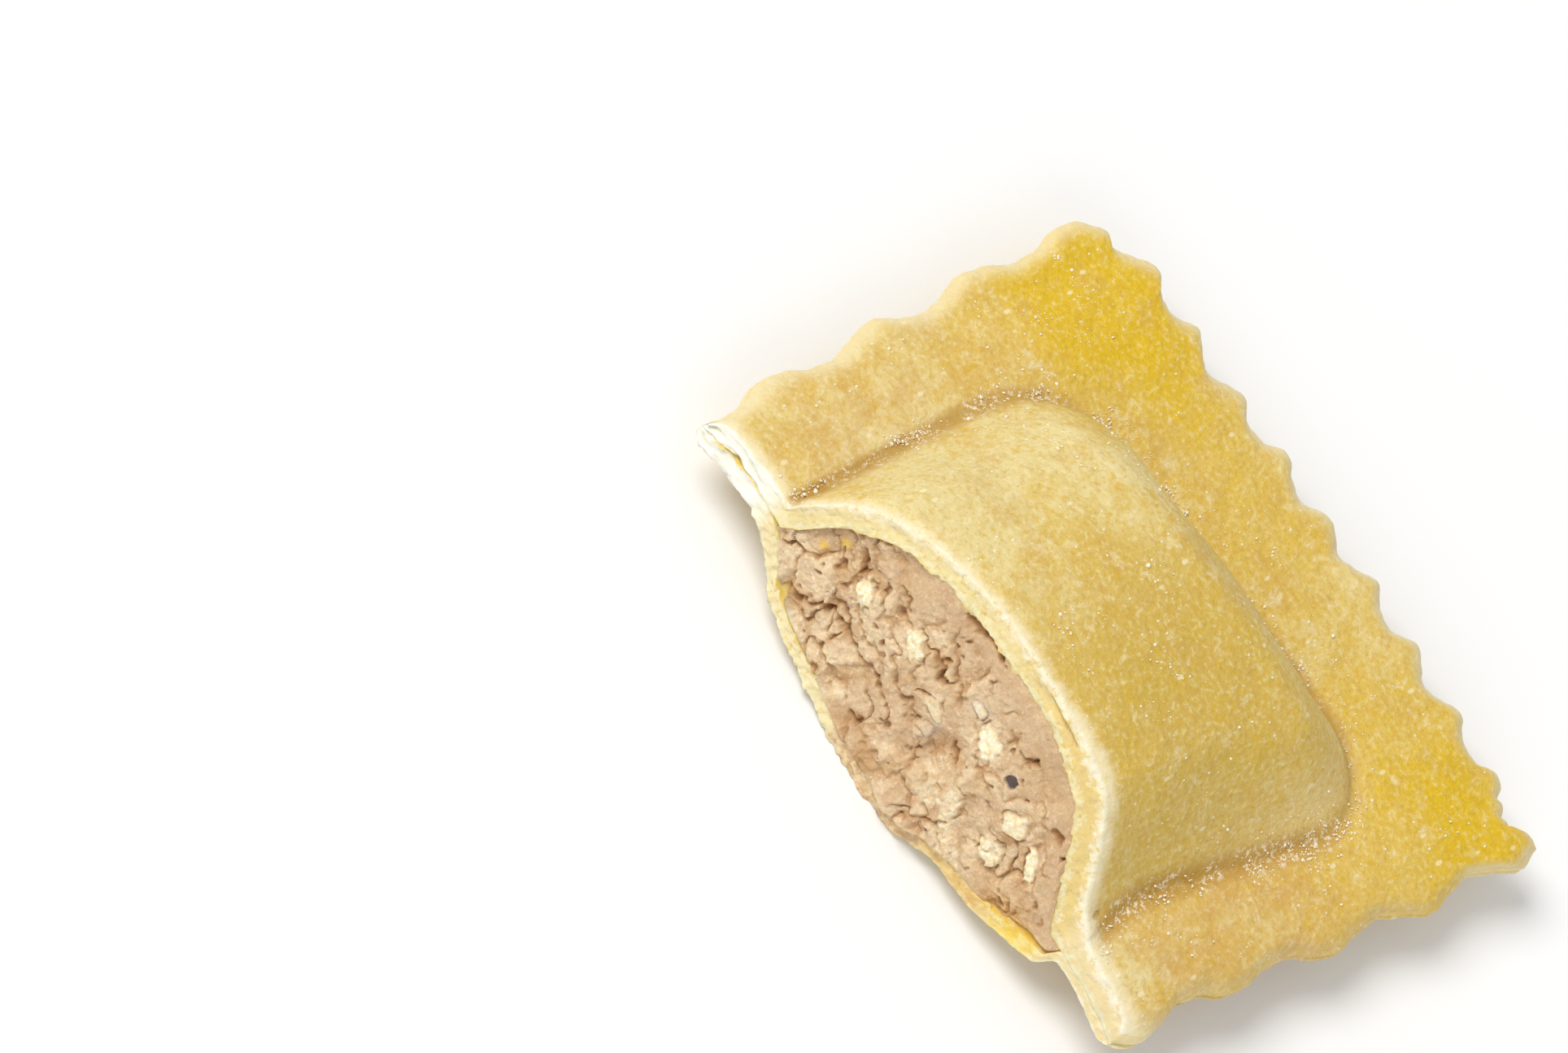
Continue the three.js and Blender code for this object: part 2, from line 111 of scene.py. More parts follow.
def noise(p, seed=0):
    """Smooth noise from -1 to 1 at points whose features are about 1 across."""
    cell = np.floor(p).astype(np.int64)
    f = p - cell
    f = f * f * f * (f * (f * 6 - 15) + 10)
    sides = [(1 - f[:, k], f[:, k]) for k in range(3)]
    total = 0.0
    for a, b, c in np.ndindex(2, 2, 2):
        weight = sides[0][a] * sides[1][b] * sides[2][c]
        total = total + weight * hashed(cell[:, 0] + a, cell[:, 1] + b, cell[:, 2] + c, seed)
    return 2 * total - 1


def layered(p, octaves, seed=0, gain=0.5):
    value, size, scale = 0.0, 1.0, 1.0
    for octave in range(octaves):
        value = value + size * noise(p * scale + 17.3 * octave, seed + octave)
        size, scale = size * gain, scale * 2.03
    return value


def cells(x, y, seed=0):
    """The distance from places in a plane to the nearest of scattered points, and that point's number."""
    left, low = np.floor(x).astype(np.int64), np.floor(y).astype(np.int64)
    nearest, number = np.full(len(x), 9.0), np.zeros(len(x))
    for a, b in np.ndindex(3, 3):
        i, j = left + a - 1, low + b - 1
        distance = np.hypot(i + hashed(i, j, 1, seed) - x, j + hashed(i, j, 2, seed) - y)
        number = np.where(distance < nearest, hashed(i, j, 3, seed), number)
        nearest = np.minimum(nearest, distance)
    return nearest, number


def smooth(value, low, high):
    t = np.clip((value - low) / (high - low), 0, 1)
    return t * t * (3 - 2 * t)


def between(value, low, full, falling, end):
    """1 from full to falling, and smoothly down to 0 at low and at end."""
    return smooth(value, low, full) * (1 - smooth(value, falling, end))


def mix(a, b, t):
    return a + (b - a) * t


def bell(value, middle, reach):
    return np.exp(-(((value - middle) / reach) ** 2))


def spot(x, y, at_x, at_y, reach_x, reach_y):
    """1 at a place, falling smoothly to 0 around it."""
    return bell(x, at_x, reach_x) * bell(y, at_y, reach_y)


def spots(x, y, table):
    """The sum of spots, each given by its amount, its place and its reach both ways."""
    return sum(amount * spot(x, y, *where) for amount, *where in table)


def plan(x, y):
    """Points of the plane for noise."""
    return np.stack([x, y, 0 * x], axis=1)


def unit(vectors):
    return vectors / np.maximum(np.linalg.norm(vectors, axis=1, keepdims=True), 1e-12)


# The outline, as a function of the share of a side.

def left_edge(y):
    return CUT_LEFT_X + LEFT_LEAN * y


def right_edge(y):
    middle, reach, depth = RIGHT_HOLLOW
    return CUT_RIGHT_X + RIGHT_LEAN * y - depth * bell(y, middle, reach)


def far_edge(x):
    return FAR_Y + FAR_BOW * np.sin(math.pi * (x - BOW_START_X) / BOW_LENGTH) ** 2


def pillow_centre(y):
    return PILLOW_CENTRE_X + PILLOW_LEAN * y


def crimp(along, sort):
    first, pitch, depth = sort
    unevenness = 1 + CRIMP_UNEVENNESS * np.sin(1.9 * along)
    turn = TAU * (along - first) / pitch
    return depth * unevenness * (np.cos(turn) + CRIMP_SHARPNESS * np.cos(2 * turn) - 0.05)


def near_corner(distance):
    return np.clip(1 - distance / CORNER_REACH, 0, 1) ** 2


def ragged(x, y):
    """How uneven the outline is in small."""
    return 0.07 * noise(plan(x, y) / 0.9, 5) + 0.04 * noise(plan(x, y) / 0.35, 6)


def side_point(share, inset, edge, corner, sort, way):
    y = share * corner[1]
    to_corner = corner[1] - y
    fade = smooth(to_corner, 0, CRIMP_FADE) * (1 - inset)
    rounding = (corner[0] - edge(corner[1])) * near_corner(to_corner)
    x = edge(y) + rounding + way * crimp(y, sort) * fade
    return x + ragged(x, y) * fade, y


def left_point(share, inset):
    return side_point(share, inset, left_edge, FAR_LEFT_CORNER, LEFT_CRIMP, -1)


def right_point(share, inset):
    return side_point(share, inset, right_edge, FAR_RIGHT_CORNER, RIGHT_CRIMP, 1)


def far_point(share, inset):
    x = mix(FAR_LEFT_CORNER[0], FAR_RIGHT_CORNER[0], share)
    to_left, to_right = x - FAR_LEFT_CORNER[0], FAR_RIGHT_CORNER[0] - x
    fade = smooth(np.minimum(to_left, to_right), 0, CRIMP_FADE) * (1 - inset)
    rounding = (FAR_LEFT_CORNER[1] - far_edge(FAR_LEFT_CORNER[0])) * near_corner(to_left)
    rounding = rounding + (FAR_RIGHT_CORNER[1] - far_edge(FAR_RIGHT_CORNER[0])) * near_corner(to_right)
    y = far_edge(x) + rounding + crimp(x, FAR_CRIMP) * fade
    for at, half_width, depth in BROKEN_NOTCHES:
        y = y - depth * bell(x, at, half_width) * (1 - inset) ** 6
    return x, y + ragged(x, y) * fade


# The heights of the dough's faces above the level where the sheets meet.

def fold_across(x, y):
    return (x - pillow_centre(y)) / PILLOW_HALF_WIDTH


def fold_along(y):
    return np.clip(y / PILLOW_FAR_Y, 0, 1)


def left_foot(y):
    """How far inside the pillow's border the dome's foot runs on the left."""
    return 1.5 * np.clip(1 - y / 15, 0, 1)


def right_foot(y):
    return 0.44 + 1.7 * smooth(y, 0, 7) - 0.06 * y


def far_foot(across):
    return 1.19 - 0.92 * np.clip(across, -1, 1)


def dome_out(x, y):
    """0 on the dome's top, 1 at its foot and more beyond it; and how much of that is towards the far side."""
    across, along = fold_across(x, y), fold_along(y)
    left = across < 0
    width = mix(np.where(left, TOP_SLOPE_LEFT[0], TOP_SLOPE_RIGHT[0]),
                np.where(left, TOP_SLOPE_LEFT[2], TOP_SLOPE_RIGHT[2]), along)
    foot = np.where(left, left_foot(y), right_foot(y))
    inside = PILLOW_HALF_WIDTH - np.abs(x - pillow_centre(y))
    out_across = np.maximum(1 - (inside - foot) / width, 0)
    out_along = np.maximum(1 - (PILLOW_FAR_Y - y - far_foot(across)) / TOP_SLOPE_FAR[0], 0)
    out = np.hypot(out_across, out_along)
    return out, (out_along / np.maximum(out, 1e-9)) ** 2


def top_rise(x, y):
    across, along = fold_across(x, y), fold_along(y)
    flattening = mix(TOP_CROWN_ACROSS, TOP_CROWN_ACROSS_FAR, along) * np.abs(across) ** TOP_CROWN_POWER
    crown = 1 - flattening - TOP_CROWN_ALONG * along**2 - TOP_SAG * across * along + TOP_TILT * across
    out, towards_far = dome_out(x, y)
    left = across < 0
    side_power = mix(np.where(left, TOP_SLOPE_LEFT[1], TOP_SLOPE_RIGHT[1]),
                     np.where(left, TOP_SLOPE_LEFT[3], TOP_SLOPE_RIGHT[3]), along)
    return TOP_RISE * crown * (1 - np.minimum(out, 1) ** mix(side_power, TOP_SLOPE_FAR[1], towards_far))


def soft_cap(value):
    soft = BOTTOM_FLAT_SOFTNESS
    blend = np.clip((1 + soft - value) / (2 * soft), 0, 1)
    return mix(1, value, blend) - soft * blend * (1 - blend)


def bottom_drop(x, y):
    across = fold_across(x, y)
    outward = np.minimum(np.abs(across), 1)
    fall, power, foot = [np.where(across < 0, a, b) for a, b in zip(BOWL_LEFT, BOWL_RIGHT)]
    foot = mix(foot, BOWL_FOOT_FAR, fold_along(y))
    bowl = (1 - fall * outward**power) * smooth((1 - outward) / foot, 0, 1)
    for at, reach, depth, back in BOWL_DENTS:
        bowl = bowl - depth * bell(x, at, reach) * (1 - smooth(y, 0, back))
    fullness = mix(BOTTOM_FULLNESS, BOTTOM_FULLNESS_BEHIND, smooth(y, 0, BOTTOM_FULLNESS_REACH))
    far = smooth(PILLOW_FAR_Y - y, 0, BOTTOM_FAR_SLOPE_WIDTH)
    to_flat = BOTTOM_DROP + rim_level(x, y)
    return to_flat * soft_cap(BOTTOM_DROP * fullness / to_flat * bowl * far)


def rim_level(x, y):
    across = fold_across(x, y)
    raised = np.where(across < 0, RIM_RAISE_LEFT, RIM_RAISE_RIGHT) * smooth(np.abs(across), RIM_RAISE_FROM, 1)
    raised = raised * (1 - smooth(y, 0, RIM_RAISE_REACH))
    outside = np.abs(x - pillow_centre(y)) - PILLOW_HALF_WIDTH
    outside = np.maximum(np.maximum(outside, (y - PILLOW_FAR_Y) / 2), 0)
    return raised - RIM_DROOP * np.minimum(outside / RIM_DROOP_REACH, 1) ** 2


def seam_drop(x, y):
    """At the cut's right end the bottom sheet is pressed thinner, and the top one is thicker."""
    return SEAM_DROP * smooth(x, 33, 38) * (1 - smooth(y, 3, 12))


def sheet_thickness(pressed, full, height, x, y, most):
    swell = np.clip(height(x, y) / (most / 2), 0, 1)
    step = 0.2
    slope_x = (height(x + step, y) - height(x - step, y)) / (2 * step)
    slope_y = (height(x, y + step) - height(x, y - step)) / (2 * step)
    upright = np.minimum(np.sqrt(1 + slope_x**2 + slope_y**2), STEEPEST_SHEET)
    return mix(pressed, full, swell) * upright


def top_outer(x, y, half=RIM_HALF):
    return rim_level(x, y) + half + top_rise(x, y)


def gape(x, y):
    """How far each sheet stands back from the seam: they part at the cut's left end, and touch elsewhere."""
    at_ends = np.maximum(1 - smooth(x, 7.6, 8.8), smooth(x, 36.5, 38.0)) * (1 - smooth(y, 1, 3))
    return spots(x, y, PARTED) - TOUCHING * at_ends


def top_inner(x, y, half=None):
    """The rim's bevel, half of its thickness, changes the outer faces only."""
    thicker = (spots(x, y, THICKER) + THICKER_ON_RIGHT * smooth(x, 31, 34)) * (1 - smooth(y, 4, 9))
    pressed = RIM_HALF + seam_drop(x, y)
    thickness = sheet_thickness(pressed + thicker, TOP_SHEET + thicker, top_rise, x, y, TOP_RISE)
    seam = rim_level(x, y) - seam_drop(x, y)
    return seam + np.maximum(SEAM, pressed + top_rise(x, y) - thickness) + gape(x, y)


def bottom_inner(x, y, half=None):
    pressed = RIM_HALF - seam_drop(x, y)
    full = mix(BOTTOM_SHEET_LEFT, BOTTOM_SHEET, smooth(fold_across(x, y), -0.8, -0.1))
    thickness = sheet_thickness(pressed, full, bottom_drop, x, y, BOTTOM_DROP)
    seam = rim_level(x, y) - seam_drop(x, y)
    return seam - np.maximum(SEAM, pressed + bottom_drop(x, y) - thickness) - gape(x, y)


def bottom_outer(x, y, half=RIM_HALF):
    return rim_level(x, y) - half - bottom_drop(x, y)


# A sheet as a net of points: the pillow's grid, and rings of the rim around three sides of it.

def row_share(share):
    return np.sin(math.pi / 2 * share) * 0.35 + 0.65 * share


def cut_start(face, plan_at, count):
    """Where lines of plan points start, for their first points to lie on the cut."""
    y = np.zeros(count)
    for _ in range(CUT_PASSES):
        y = face(*plan_at(y)) * CUT_LEAN
    return y


def bevelled_half(edge_distance):
    """Half of the rim's thickness, which thins in a rounded bevel towards the outline."""
    t = np.clip(1 - edge_distance / RIM_BEVEL, 0, 1)
    return RIM_EDGE_HALF + (RIM_HALF - RIM_EDGE_HALF) * (1 - t**2.6)


def sheet_net(face):
    """Points, the distance of each from the outline, quads, and the borders on the cut and on the rim."""
    side = np.linspace(-PILLOW_HALF_WIDTH, PILLOW_HALF_WIDTH, COLUMNS + 1)
    start = cut_start(face, lambda y: (pillow_centre(y) + side, y), COLUMNS + 1)
    share = row_share(np.linspace(0, 1, ROWS + 1))[:, None]
    y = start + (PILLOW_FAR_Y - start) * share
    x = pillow_centre(y) + side
    points = [np.stack([x.ravel(), y.ravel(), face(x.ravel(), y.ravel())], axis=1)]
    distances = [np.full(x.size, MOST_DISTANCE)]
    index = np.arange(x.size).reshape(ROWS + 1, COLUMNS + 1)

    insets = (1 - (np.arange(RINGS) + 1) / RINGS) ** 1.35  # closer together at the outline
    # Each side's points, their shares of it, and at which end of the pillow it stands.
    sides = [
        (left_point, np.arange(ROWS) / ROWS, -1),
        (far_point, np.arange(COLUMNS) / COLUMNS, 0),
        (right_point, 1 - np.arange(ROWS + 1) / ROWS, 1),
    ]
    rings = [np.concatenate([index[:-1, 0], index[-1, :-1], index[::-1, -1]])]
    for inset in insets:
        for point, shares, which in sides:
            across, foot_y = mix(-1, 1, shares), np.full(len(shares), PILLOW_FAR_Y)
            if which:
                across = which
                foot_y = mix(start[0 if which < 0 else -1], PILLOW_FAR_Y, row_share(shares))
            foot_x = pillow_centre(foot_y) + across * PILLOW_HALF_WIDTH
            outer_x, outer_y = point(shares, inset)
            fade = (1 - shares) ** 2 if which else 0 * shares

            def plan_at(lead):
                return mix(outer_x, foot_x, inset), mix(outer_y + lead * fade, foot_y, inset)

            far_in = np.hypot(*(a - b for a, b in zip(plan_at(0), (outer_x, outer_y))))
            half = bevelled_half(far_in)
            lead, on_cut = 0.0, int(np.argmin(shares))
            for _ in range(CUT_PASSES if which else 0):
                px, py = plan_at(lead)
                lead += (face(px, py, half)[on_cut] * CUT_LEAN - py[on_cut]) / (1 - inset)
            px, py = plan_at(lead)
            points.append(np.stack([px, py, face(px, py, half)], axis=1))
            distances.append(np.minimum(far_in, MOST_DISTANCE))
        size = 2 * ROWS + COLUMNS + 1
        rings.append(x.size + (len(rings) - 1) * size + np.arange(size))

    quads = [grid_quads(index)] + [grid_quads(np.stack(pair)) for pair in zip(rings, rings[1:])]
    left_cut = [ring[0] for ring in rings[:0:-1]]
    right_cut = [ring[-1] for ring in rings[1:]]
    cut_line = np.concatenate([left_cut, index[0], right_cut]).astype(int)
    rim_line = rings[-1][::-1][1:-1]
    return np.concatenate(points), np.concatenate(distances), np.concatenate(quads), cut_line, rim_line


def grid_quads(index):
    return np.stack(
        [index[:-1, :-1].ravel(), index[:-1, 1:].ravel(), index[1:, 1:].ravel(), index[1:, :-1].ravel()],
        axis=1,
    )


def point_normals(points, quads):
    a, b, c, d = (points[quads[:, k]] for k in range(4))
    face = np.cross(c - a, d - b)
    total = np.zeros_like(points)
    for k in range(4):
        np.add.at(total, quads[:, k], face)
    return unit(total)


def placed(name, data):
    thing = bpy.data.objects.new(name, data)
    bpy.context.scene.collection.objects.link(thing)
    return thing


def make_piece(name, points, face_sets, fields, material):
    """A Blender object from points in millimetres, with a number at each point for each field."""
    mesh = bpy.data.meshes.new(name)
    points = (points - ORIGIN) * MM
    mesh.vertices.add(len(points))
    mesh.vertices.foreach_set("co", points.astype(np.float32).ravel())
    corners = np.concatenate([faces.ravel() for faces in face_sets])
    sizes = np.concatenate([np.full(len(faces), faces.shape[1]) for faces in face_sets])
    mesh.loops.add(len(corners))
    mesh.loops.foreach_set("vertex_index", corners.astype(np.int32))
    mesh.polygons.add(len(sizes))
    mesh.polygons.foreach_set("loop_start", (np.cumsum(sizes) - sizes).astype(np.int32))
    mesh.update(calc_edges=True)
    mesh.validate()
    mesh.polygons.foreach_set("use_smooth", np.ones(len(mesh.polygons), dtype=bool))
    for key, values in fields.items():
        attribute = mesh.attributes.new(key, "FLOAT", "POINT")
        attribute.data.foreach_set("value", np.asarray(values, dtype=np.float32))
    mesh.materials.append(material)
    piece = placed(name, mesh)
    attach(piece, "root")
    return piece


# The relief of the dough.

PIT = (37.6, 2.3, 0.42, 0.5)  # where the crease meets the cut: x, y and reach both ways
PIT_DEPTH, GROOVE_DEPTH = 0.35, 0.10
NOTCH_FILLED = [(0.5, 38.3, 0.9, 0.95, 1.1)]
DOME_SLOPE_LENGTH = 5.5
# Small pits and grains under the skin: spacing, height, share of the places without one, reach and softness.
PITS_AND_GRAINS = [(1.2, -0.06, 0.7, 0.16, 0.13), (1.9, 0.06, 0.6, 0.22, 0.2)]


def pillow_share(x, y):
    return np.clip(top_rise(x, y) / 3, 0, 1)


def foot_distance(x, y):
    """About how far a place is outside (positive) or inside (negative) the dome's foot."""
    return (dome_out(x, y)[0] - 1) * DOME_SLOPE_LENGTH


def cut_distance(p):
    return p[:, 1] - p[:, 2] * CUT_LEAN


def dough_relief(p, edge_distance, seed):
    x, y = p[:, 0], p[:, 1]
    pillow = pillow_share(x, y)
    relief = pillow * (0.15 * layered(p / 6.0, 2, seed) + 0.045 * layered(p / 1.8, 2, seed + 3))
    relief += (1 - pillow) * (0.08 * layered(p / 4.2, 2, seed + 6) + 0.045 * layered(p / 1.3, 2, seed + 9))
    relief += 0.016 * layered(p / 0.5, 2, seed + 11)
    for k, (spacing, height, without, reach, softness) in enumerate(PITS_AND_GRAINS):
        nearest, number = cells(x / spacing, y / spacing, seed + 20 + k)
        relief += height * (number > without) * smooth(reach - nearest, 0, softness)
    return relief * smooth(edge_distance, 0, 0.6)


def crease_groove(x, y):
    wander = 0.25 * noise(plan(x, y) / 3.0, 41)
    return bell(foot_distance(x, y) + wander, 0.15, 0.45)


# A sheet of dough.

CUT_NORMAL = np.array([0, -1, CUT_LEAN]) / math.hypot(1, CUT_LEAN)


def on_floor(p):
    """Nothing reaches below what the piece rests on."""
    p[:, 2] = np.maximum(p[:, 2], ORIGIN[2])
    return p


def shaped_outer(outer, quads, distance, up, seed):
    """The outer face with its relief, and where its pit is."""
    normals = point_normals(outer, quads) * up
    x, y, behind = outer[:, 0], outer[:, 1], cut_distance(outer)
    relief = dough_relief(outer, distance, seed)
    pit = 0 * relief
    if up > 0:
        pit = spot(x, y, *PIT) * (1 + 0.5 * noise(outer / 0.3, 45))
        relief += spots(x, y, NOTCH_FILLED) - GROOVE_DEPTH * crease_groove(x, y) - PIT_DEPTH * pit
    else:
        relief *= smooth(behind, 0.2, 4.0)
    rounding = (0.2 if up > 0 else 0.05) * bell(behind, 0, 0.5)
    outer = outer + normals * (relief - rounding)[:, None]
    return (outer if up > 0 else on_floor(outer)), pit


def uneven_borders(outer, inner, line, up, cut_offset):
    """On the cut, the sheet's inner border wanders over the meat, and the lower one's outer crumbles."""
    for face, t in ((outer, 0.0), (inner, 1.0)):
        ends = face[line]
        face[line] = ends + CUT_NORMAL * cut_offset(ends, t)[:, None]
    ends = inner[line]
    wander = np.clip(0.10 + 0.30 * layered(ends / 0.55, 2, 77), 0, 0.32)
    wander = wander * between(ends[:, 0], 7, 9, 35.5, 37.0)
    inward = unit(ends - outer[line])
    inner[line] = ends + inward * wander[:, None]
    if up < 0:
        crumbly = 0.13 * layered(outer[line] / 0.42, 2, 78) * (1 - smooth(ends[:, 0], 25, 30))
        outer[line] -= inward * crumbly[:, None]
        on_floor(outer)


def wall_rows(a, b, on_cut, cut_offset, seed):
    """Rows of points from the border a to the border b, pushed out along the cut's normal or level."""
    along = np.roll(a, -1, axis=0) - np.roll(a, 1, axis=0)
    level = unit(np.stack([along[:, 1], -along[:, 0], 0 * along[:, 0]], axis=1))
    rows = []
    for t in np.arange(1, EDGE_ROWS) / EDGE_ROWS:
        p = mix(a, b, t)
        bulge = 0.16 * math.sin(math.pi * min(t * 1.2, 1)) + 0.05 * noise(p / 0.5, seed + 31)
        push = np.where(on_cut[:, None], CUT_NORMAL * cut_offset(p, t)[:, None], level * bulge[:, None])
        rows.append(on_floor(p + push))
    return rows


def edge_paleness(outer, distance):
    """How pale the dough is towards its outline: less on the right side."""
    to_right, y = right_edge(outer[:, 1]) - outer[:, 0], outer[:, 1]
    on_right = (1 - smooth(to_right, 2.0, 3.5)) * between(y, 1.5, 4, 25, 28)
    return bell(distance, 0, 0.75) * (1 - 0.75 * on_right)


# Patches of colour over the dough: amount, x, y and reach both ways.

# Deepest yellow in the rim's far corners, palest at the dome's left end.
YELLOW_BASE = 0.38
YELLOWER = [
    (1.15, 5.5, 27.5, 7, 5), (0.60, 46.5, 29.5, 8, 7), (0.16, 20, 28.5, 14, 2.5), (0.30, 27, 12, 7, 8),
    (0.02, 36, 11, 5, 8), (-0.42, 12, 8, 6, 8), (-0.20, 15.5, 17, 6, 5), (-0.15, 19, 6, 6, 4),
    (-0.16, 4, 5, 5, 5), (-0.18, 42, 4, 4, 4), (-0.12, 32, 30, 6, 3),
]
# Darker and greyer on the dome.
OLIVE = [(0.9, 27, 12, 9, 10), (0.1, 36, 10, 5, 8), (0.34, 11.5, 9, 5, 6)]
# Browner on the rim towards the cut and on its right.
TAN = [
    (0.75, 4.5, 7.5, 4.5, 6), (0.6, 42.5, 5.5, 4.5, 4.5), (0.9, 44.8, 14, 3.5, 5), (0.8, 41.3, 11, 1.8, 7),
    (0.25, 6, 18, 4, 6),
]
# Painted light on the dome's far right corner, whose slope faces away from the key light.
PAINTED_LIGHT_SPOT = [(0.8, 39.5, 20.5, 4.0, 7.0)]
# Where the crease's colour, partly painted shade, is fainter.
FAINT_CREASE = [(0.75, 17, 24, 9, 5), (0.5, 41.5, 24, 4, 4)]


def make_sheet(name, outer_face, inner_face, up, material, node, seed, cut_offset):
    """One sheet of dough. up is 1 for the top sheet, whose outer face looks up, and -1 for the bottom."""
    outer, distance, quads, cut_line, rim_line = sheet_net(outer_face)
    inner = sheet_net(inner_face)[0]
    outer, pit = shaped_outer(outer, quads, distance, up, seed)
    count = len(outer)
    loop = np.concatenate([cut_line, rim_line])
    on_cut = np.arange(len(loop)) < len(cut_line)
    a, b = outer[loop], inner[loop]
    uneven_borders(outer, inner, cut_line, up, cut_offset)
    rows = wall_rows(a, b, on_cut, cut_offset, seed)
    points = np.concatenate([outer, inner] + rows)

    between_borders = 2 * count + np.arange((EDGE_ROWS - 1) * len(loop)).reshape(EDGE_ROWS - 1, -1)
    ring = np.concatenate([loop[None], between_borders, loop[None] + count])
    wall = grid_quads(np.concatenate([ring, ring[:, :1]], axis=1))
    flipped = quads[:, ::-1]
    if up > 0:
        faces = [quads, flipped + count, wall[:, ::-1]]
    else:
        faces = [flipped, quads + count, wall]

    # Masks for the material: which points are on the cut, how deep in the sheet they are, and so on.
    zeros, rest = np.zeros(count), np.zeros(len(points) - count)
    wall_cut = np.tile(on_cut, EDGE_ROWS - 1).astype(float)
    cut = np.concatenate([zeros, zeros, wall_cut])
    cut[loop[on_cut]] = cut[count + loop[on_cut]] = 1
    depth = np.repeat(np.arange(1, EDGE_ROWS) / EDGE_ROWS, len(loop))
    edge = edge_paleness(outer, distance)
    x, y = points[:, 0], points[:, 1]
    from_foot = foot_distance(x, y)
    lower = cut * (up < 0)
    # The pale skin along the cut is widest at its two ends.
    skin = 0.62 + 0.3 * (1 - smooth(x, 5.0, 8.0)) + 0.45 * smooth(x, 25, 31)
    fields = {
        "cut": cut,
        "depth": np.concatenate([zeros, zeros + 1, depth]),
        "edge": np.concatenate([edge, edge, (1 - wall_cut) * np.tile(edge[loop], EDGE_ROWS - 1)]),
        "inner": np.concatenate([zeros, zeros + 1, 0 * wall_cut]),
        # The crease mask carries the flour and a tan that is partly the dough's own and partly painted shade.
        "crease": bell(from_foot, 0, 1.0) * (1 - cut) * (1 - spots(x, y, FAINT_CREASE)),
        "near": bell(np.maximum(cut_distance(points), 0), 0, skin) * np.concatenate([zeros + 1, rest]),
        "yellow": np.clip(YELLOW_BASE + spots(x, y, YELLOWER), 0, 1.3),
        "olive": np.clip(spots(x, y, OLIVE), 0, 1) * pillow_share(x, y),
        "tan": np.clip(spots(x, y, TAN), 0, 1) * (1 - pillow_share(x, y)),
        # Painted light on the dome's far right corner.
        "painted_light_corner": spots(x, y, PAINTED_LIGHT_SPOT) * bell(from_foot, -1.2, 1.6),
        "corner": cut * np.maximum(1 - smooth(x, 5.0, 7.5), 0.25 * smooth(x, 36.5, 38.5)),
        "band": cut * smooth(x, 19, 29),
        "under": lower * (1 - smooth(x, 26, 31)),
        # Meat lies over the lower dough's edge in the middle, and has stained the dough further right.
        "smeared": lower * between(x, 18.4, 21.2, 27.2, 29.2),
        "soaked": lower * between(x, 27.4, 29.2, 33.0, 35.2),
        "strip": lower * between(x, 33.0, 35.2, 37.0, 38.5),
        "pit": np.concatenate([pit, rest]),
    }
    piece = make_piece(name, points, faces, fields, material)
    keep_crisp(piece.data, count + cut_line)
    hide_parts(node)
    return piece


def keep_crisp(mesh, line):
    """No smooth shading across the edges along a line of points."""
    ends = np.empty(2 * len(mesh.edges), dtype=np.int32)
    mesh.edges.foreach_get("vertices", ends)
    crisp = np.isin(ends, line).reshape(-1, 2).all(axis=1)
    mesh.attributes.new("sharp_edge", "BOOLEAN", "EDGE").data.foreach_set("value", crisp)


# The cut through the dough: how far it stands out of its plane, t of the way from outer to inner face.

SLIT_DEPTH, FLAP_HEIGHT, STANDS_OUT = 0.75, 0.16, 0.04


def torn(p):
    """The unevenness of cut dough, drawn out along the sheet."""
    q = p * np.array([1.0, 1.8, 1.8])
    crumbs = np.abs(noise(q / 0.55, 68)) - 0.25
    return 0.09 * layered(q / 1.4, 3, 61) + 0.09 * crumbs + 0.04 * noise(p / 0.22, 66)


def flakes(p, t, layers, seed):
    """Thin layers that stand apart in the cut's left corner."""
    wave = np.sin(TAU * (layers * t + 0.5 * noise(p / 1.1, seed)))
    return (1 - smooth(p[:, 0], 3.2, 6.4)) * 0.22 * wave * (0.5 + 0.9 * noise(p / 0.6, seed + 1))


def top_cut(p, t):
    x = p[:, 0]
    groove = 0.10 * bell(t, 0.5, 0.26) * (0.9 + 0.9 * noise(p / 1.3, 66)) * (1 - smooth(x, 35.5, 38.0))
    slit = SLIT_DEPTH * between(x, 24.6, 26.0, 27.6, 28.6) * bell(t, 0.36 + 0.03 * (x - 26.5), 0.06)
    flap = FLAP_HEIGHT * between(x, 23.4, 25.4, 28, 29) * bell(t, 0.22, 0.08)
    nearest, number = cells(x / 0.9, t * 2.4 + 0 * x, 67)
    pits = 0.09 * (number > 0.62) * smooth(0.3 - nearest, 0, 0.25)
    fringe = 0.10 * bell(t, 0.93, 0.08) * noise(p / 0.45, 69)
    return torn(p) - groove - slit + flap - pits + fringe + flakes(p, t, 1.6, 71) + STANDS_OUT


def bottom_cut(p, t):
    jagged = 0.16 * noise(p / 0.4, 74) * (1 - smooth(p[:, 0], 25, 28))
    return torn(p) + jagged + flakes(p, t, 1.3, 73) + STANDS_OUT


# The filling.

FILLING_LEFT, FILLING_RIGHT = -14.6, 16.2  # from the pillow's centre line
FILLING_COLUMNS, FACE_ROWS, BODY_ROWS = 392, 150, 10
FILLING_FAR_Y = 22.5
FILLING_GAP = 0.05
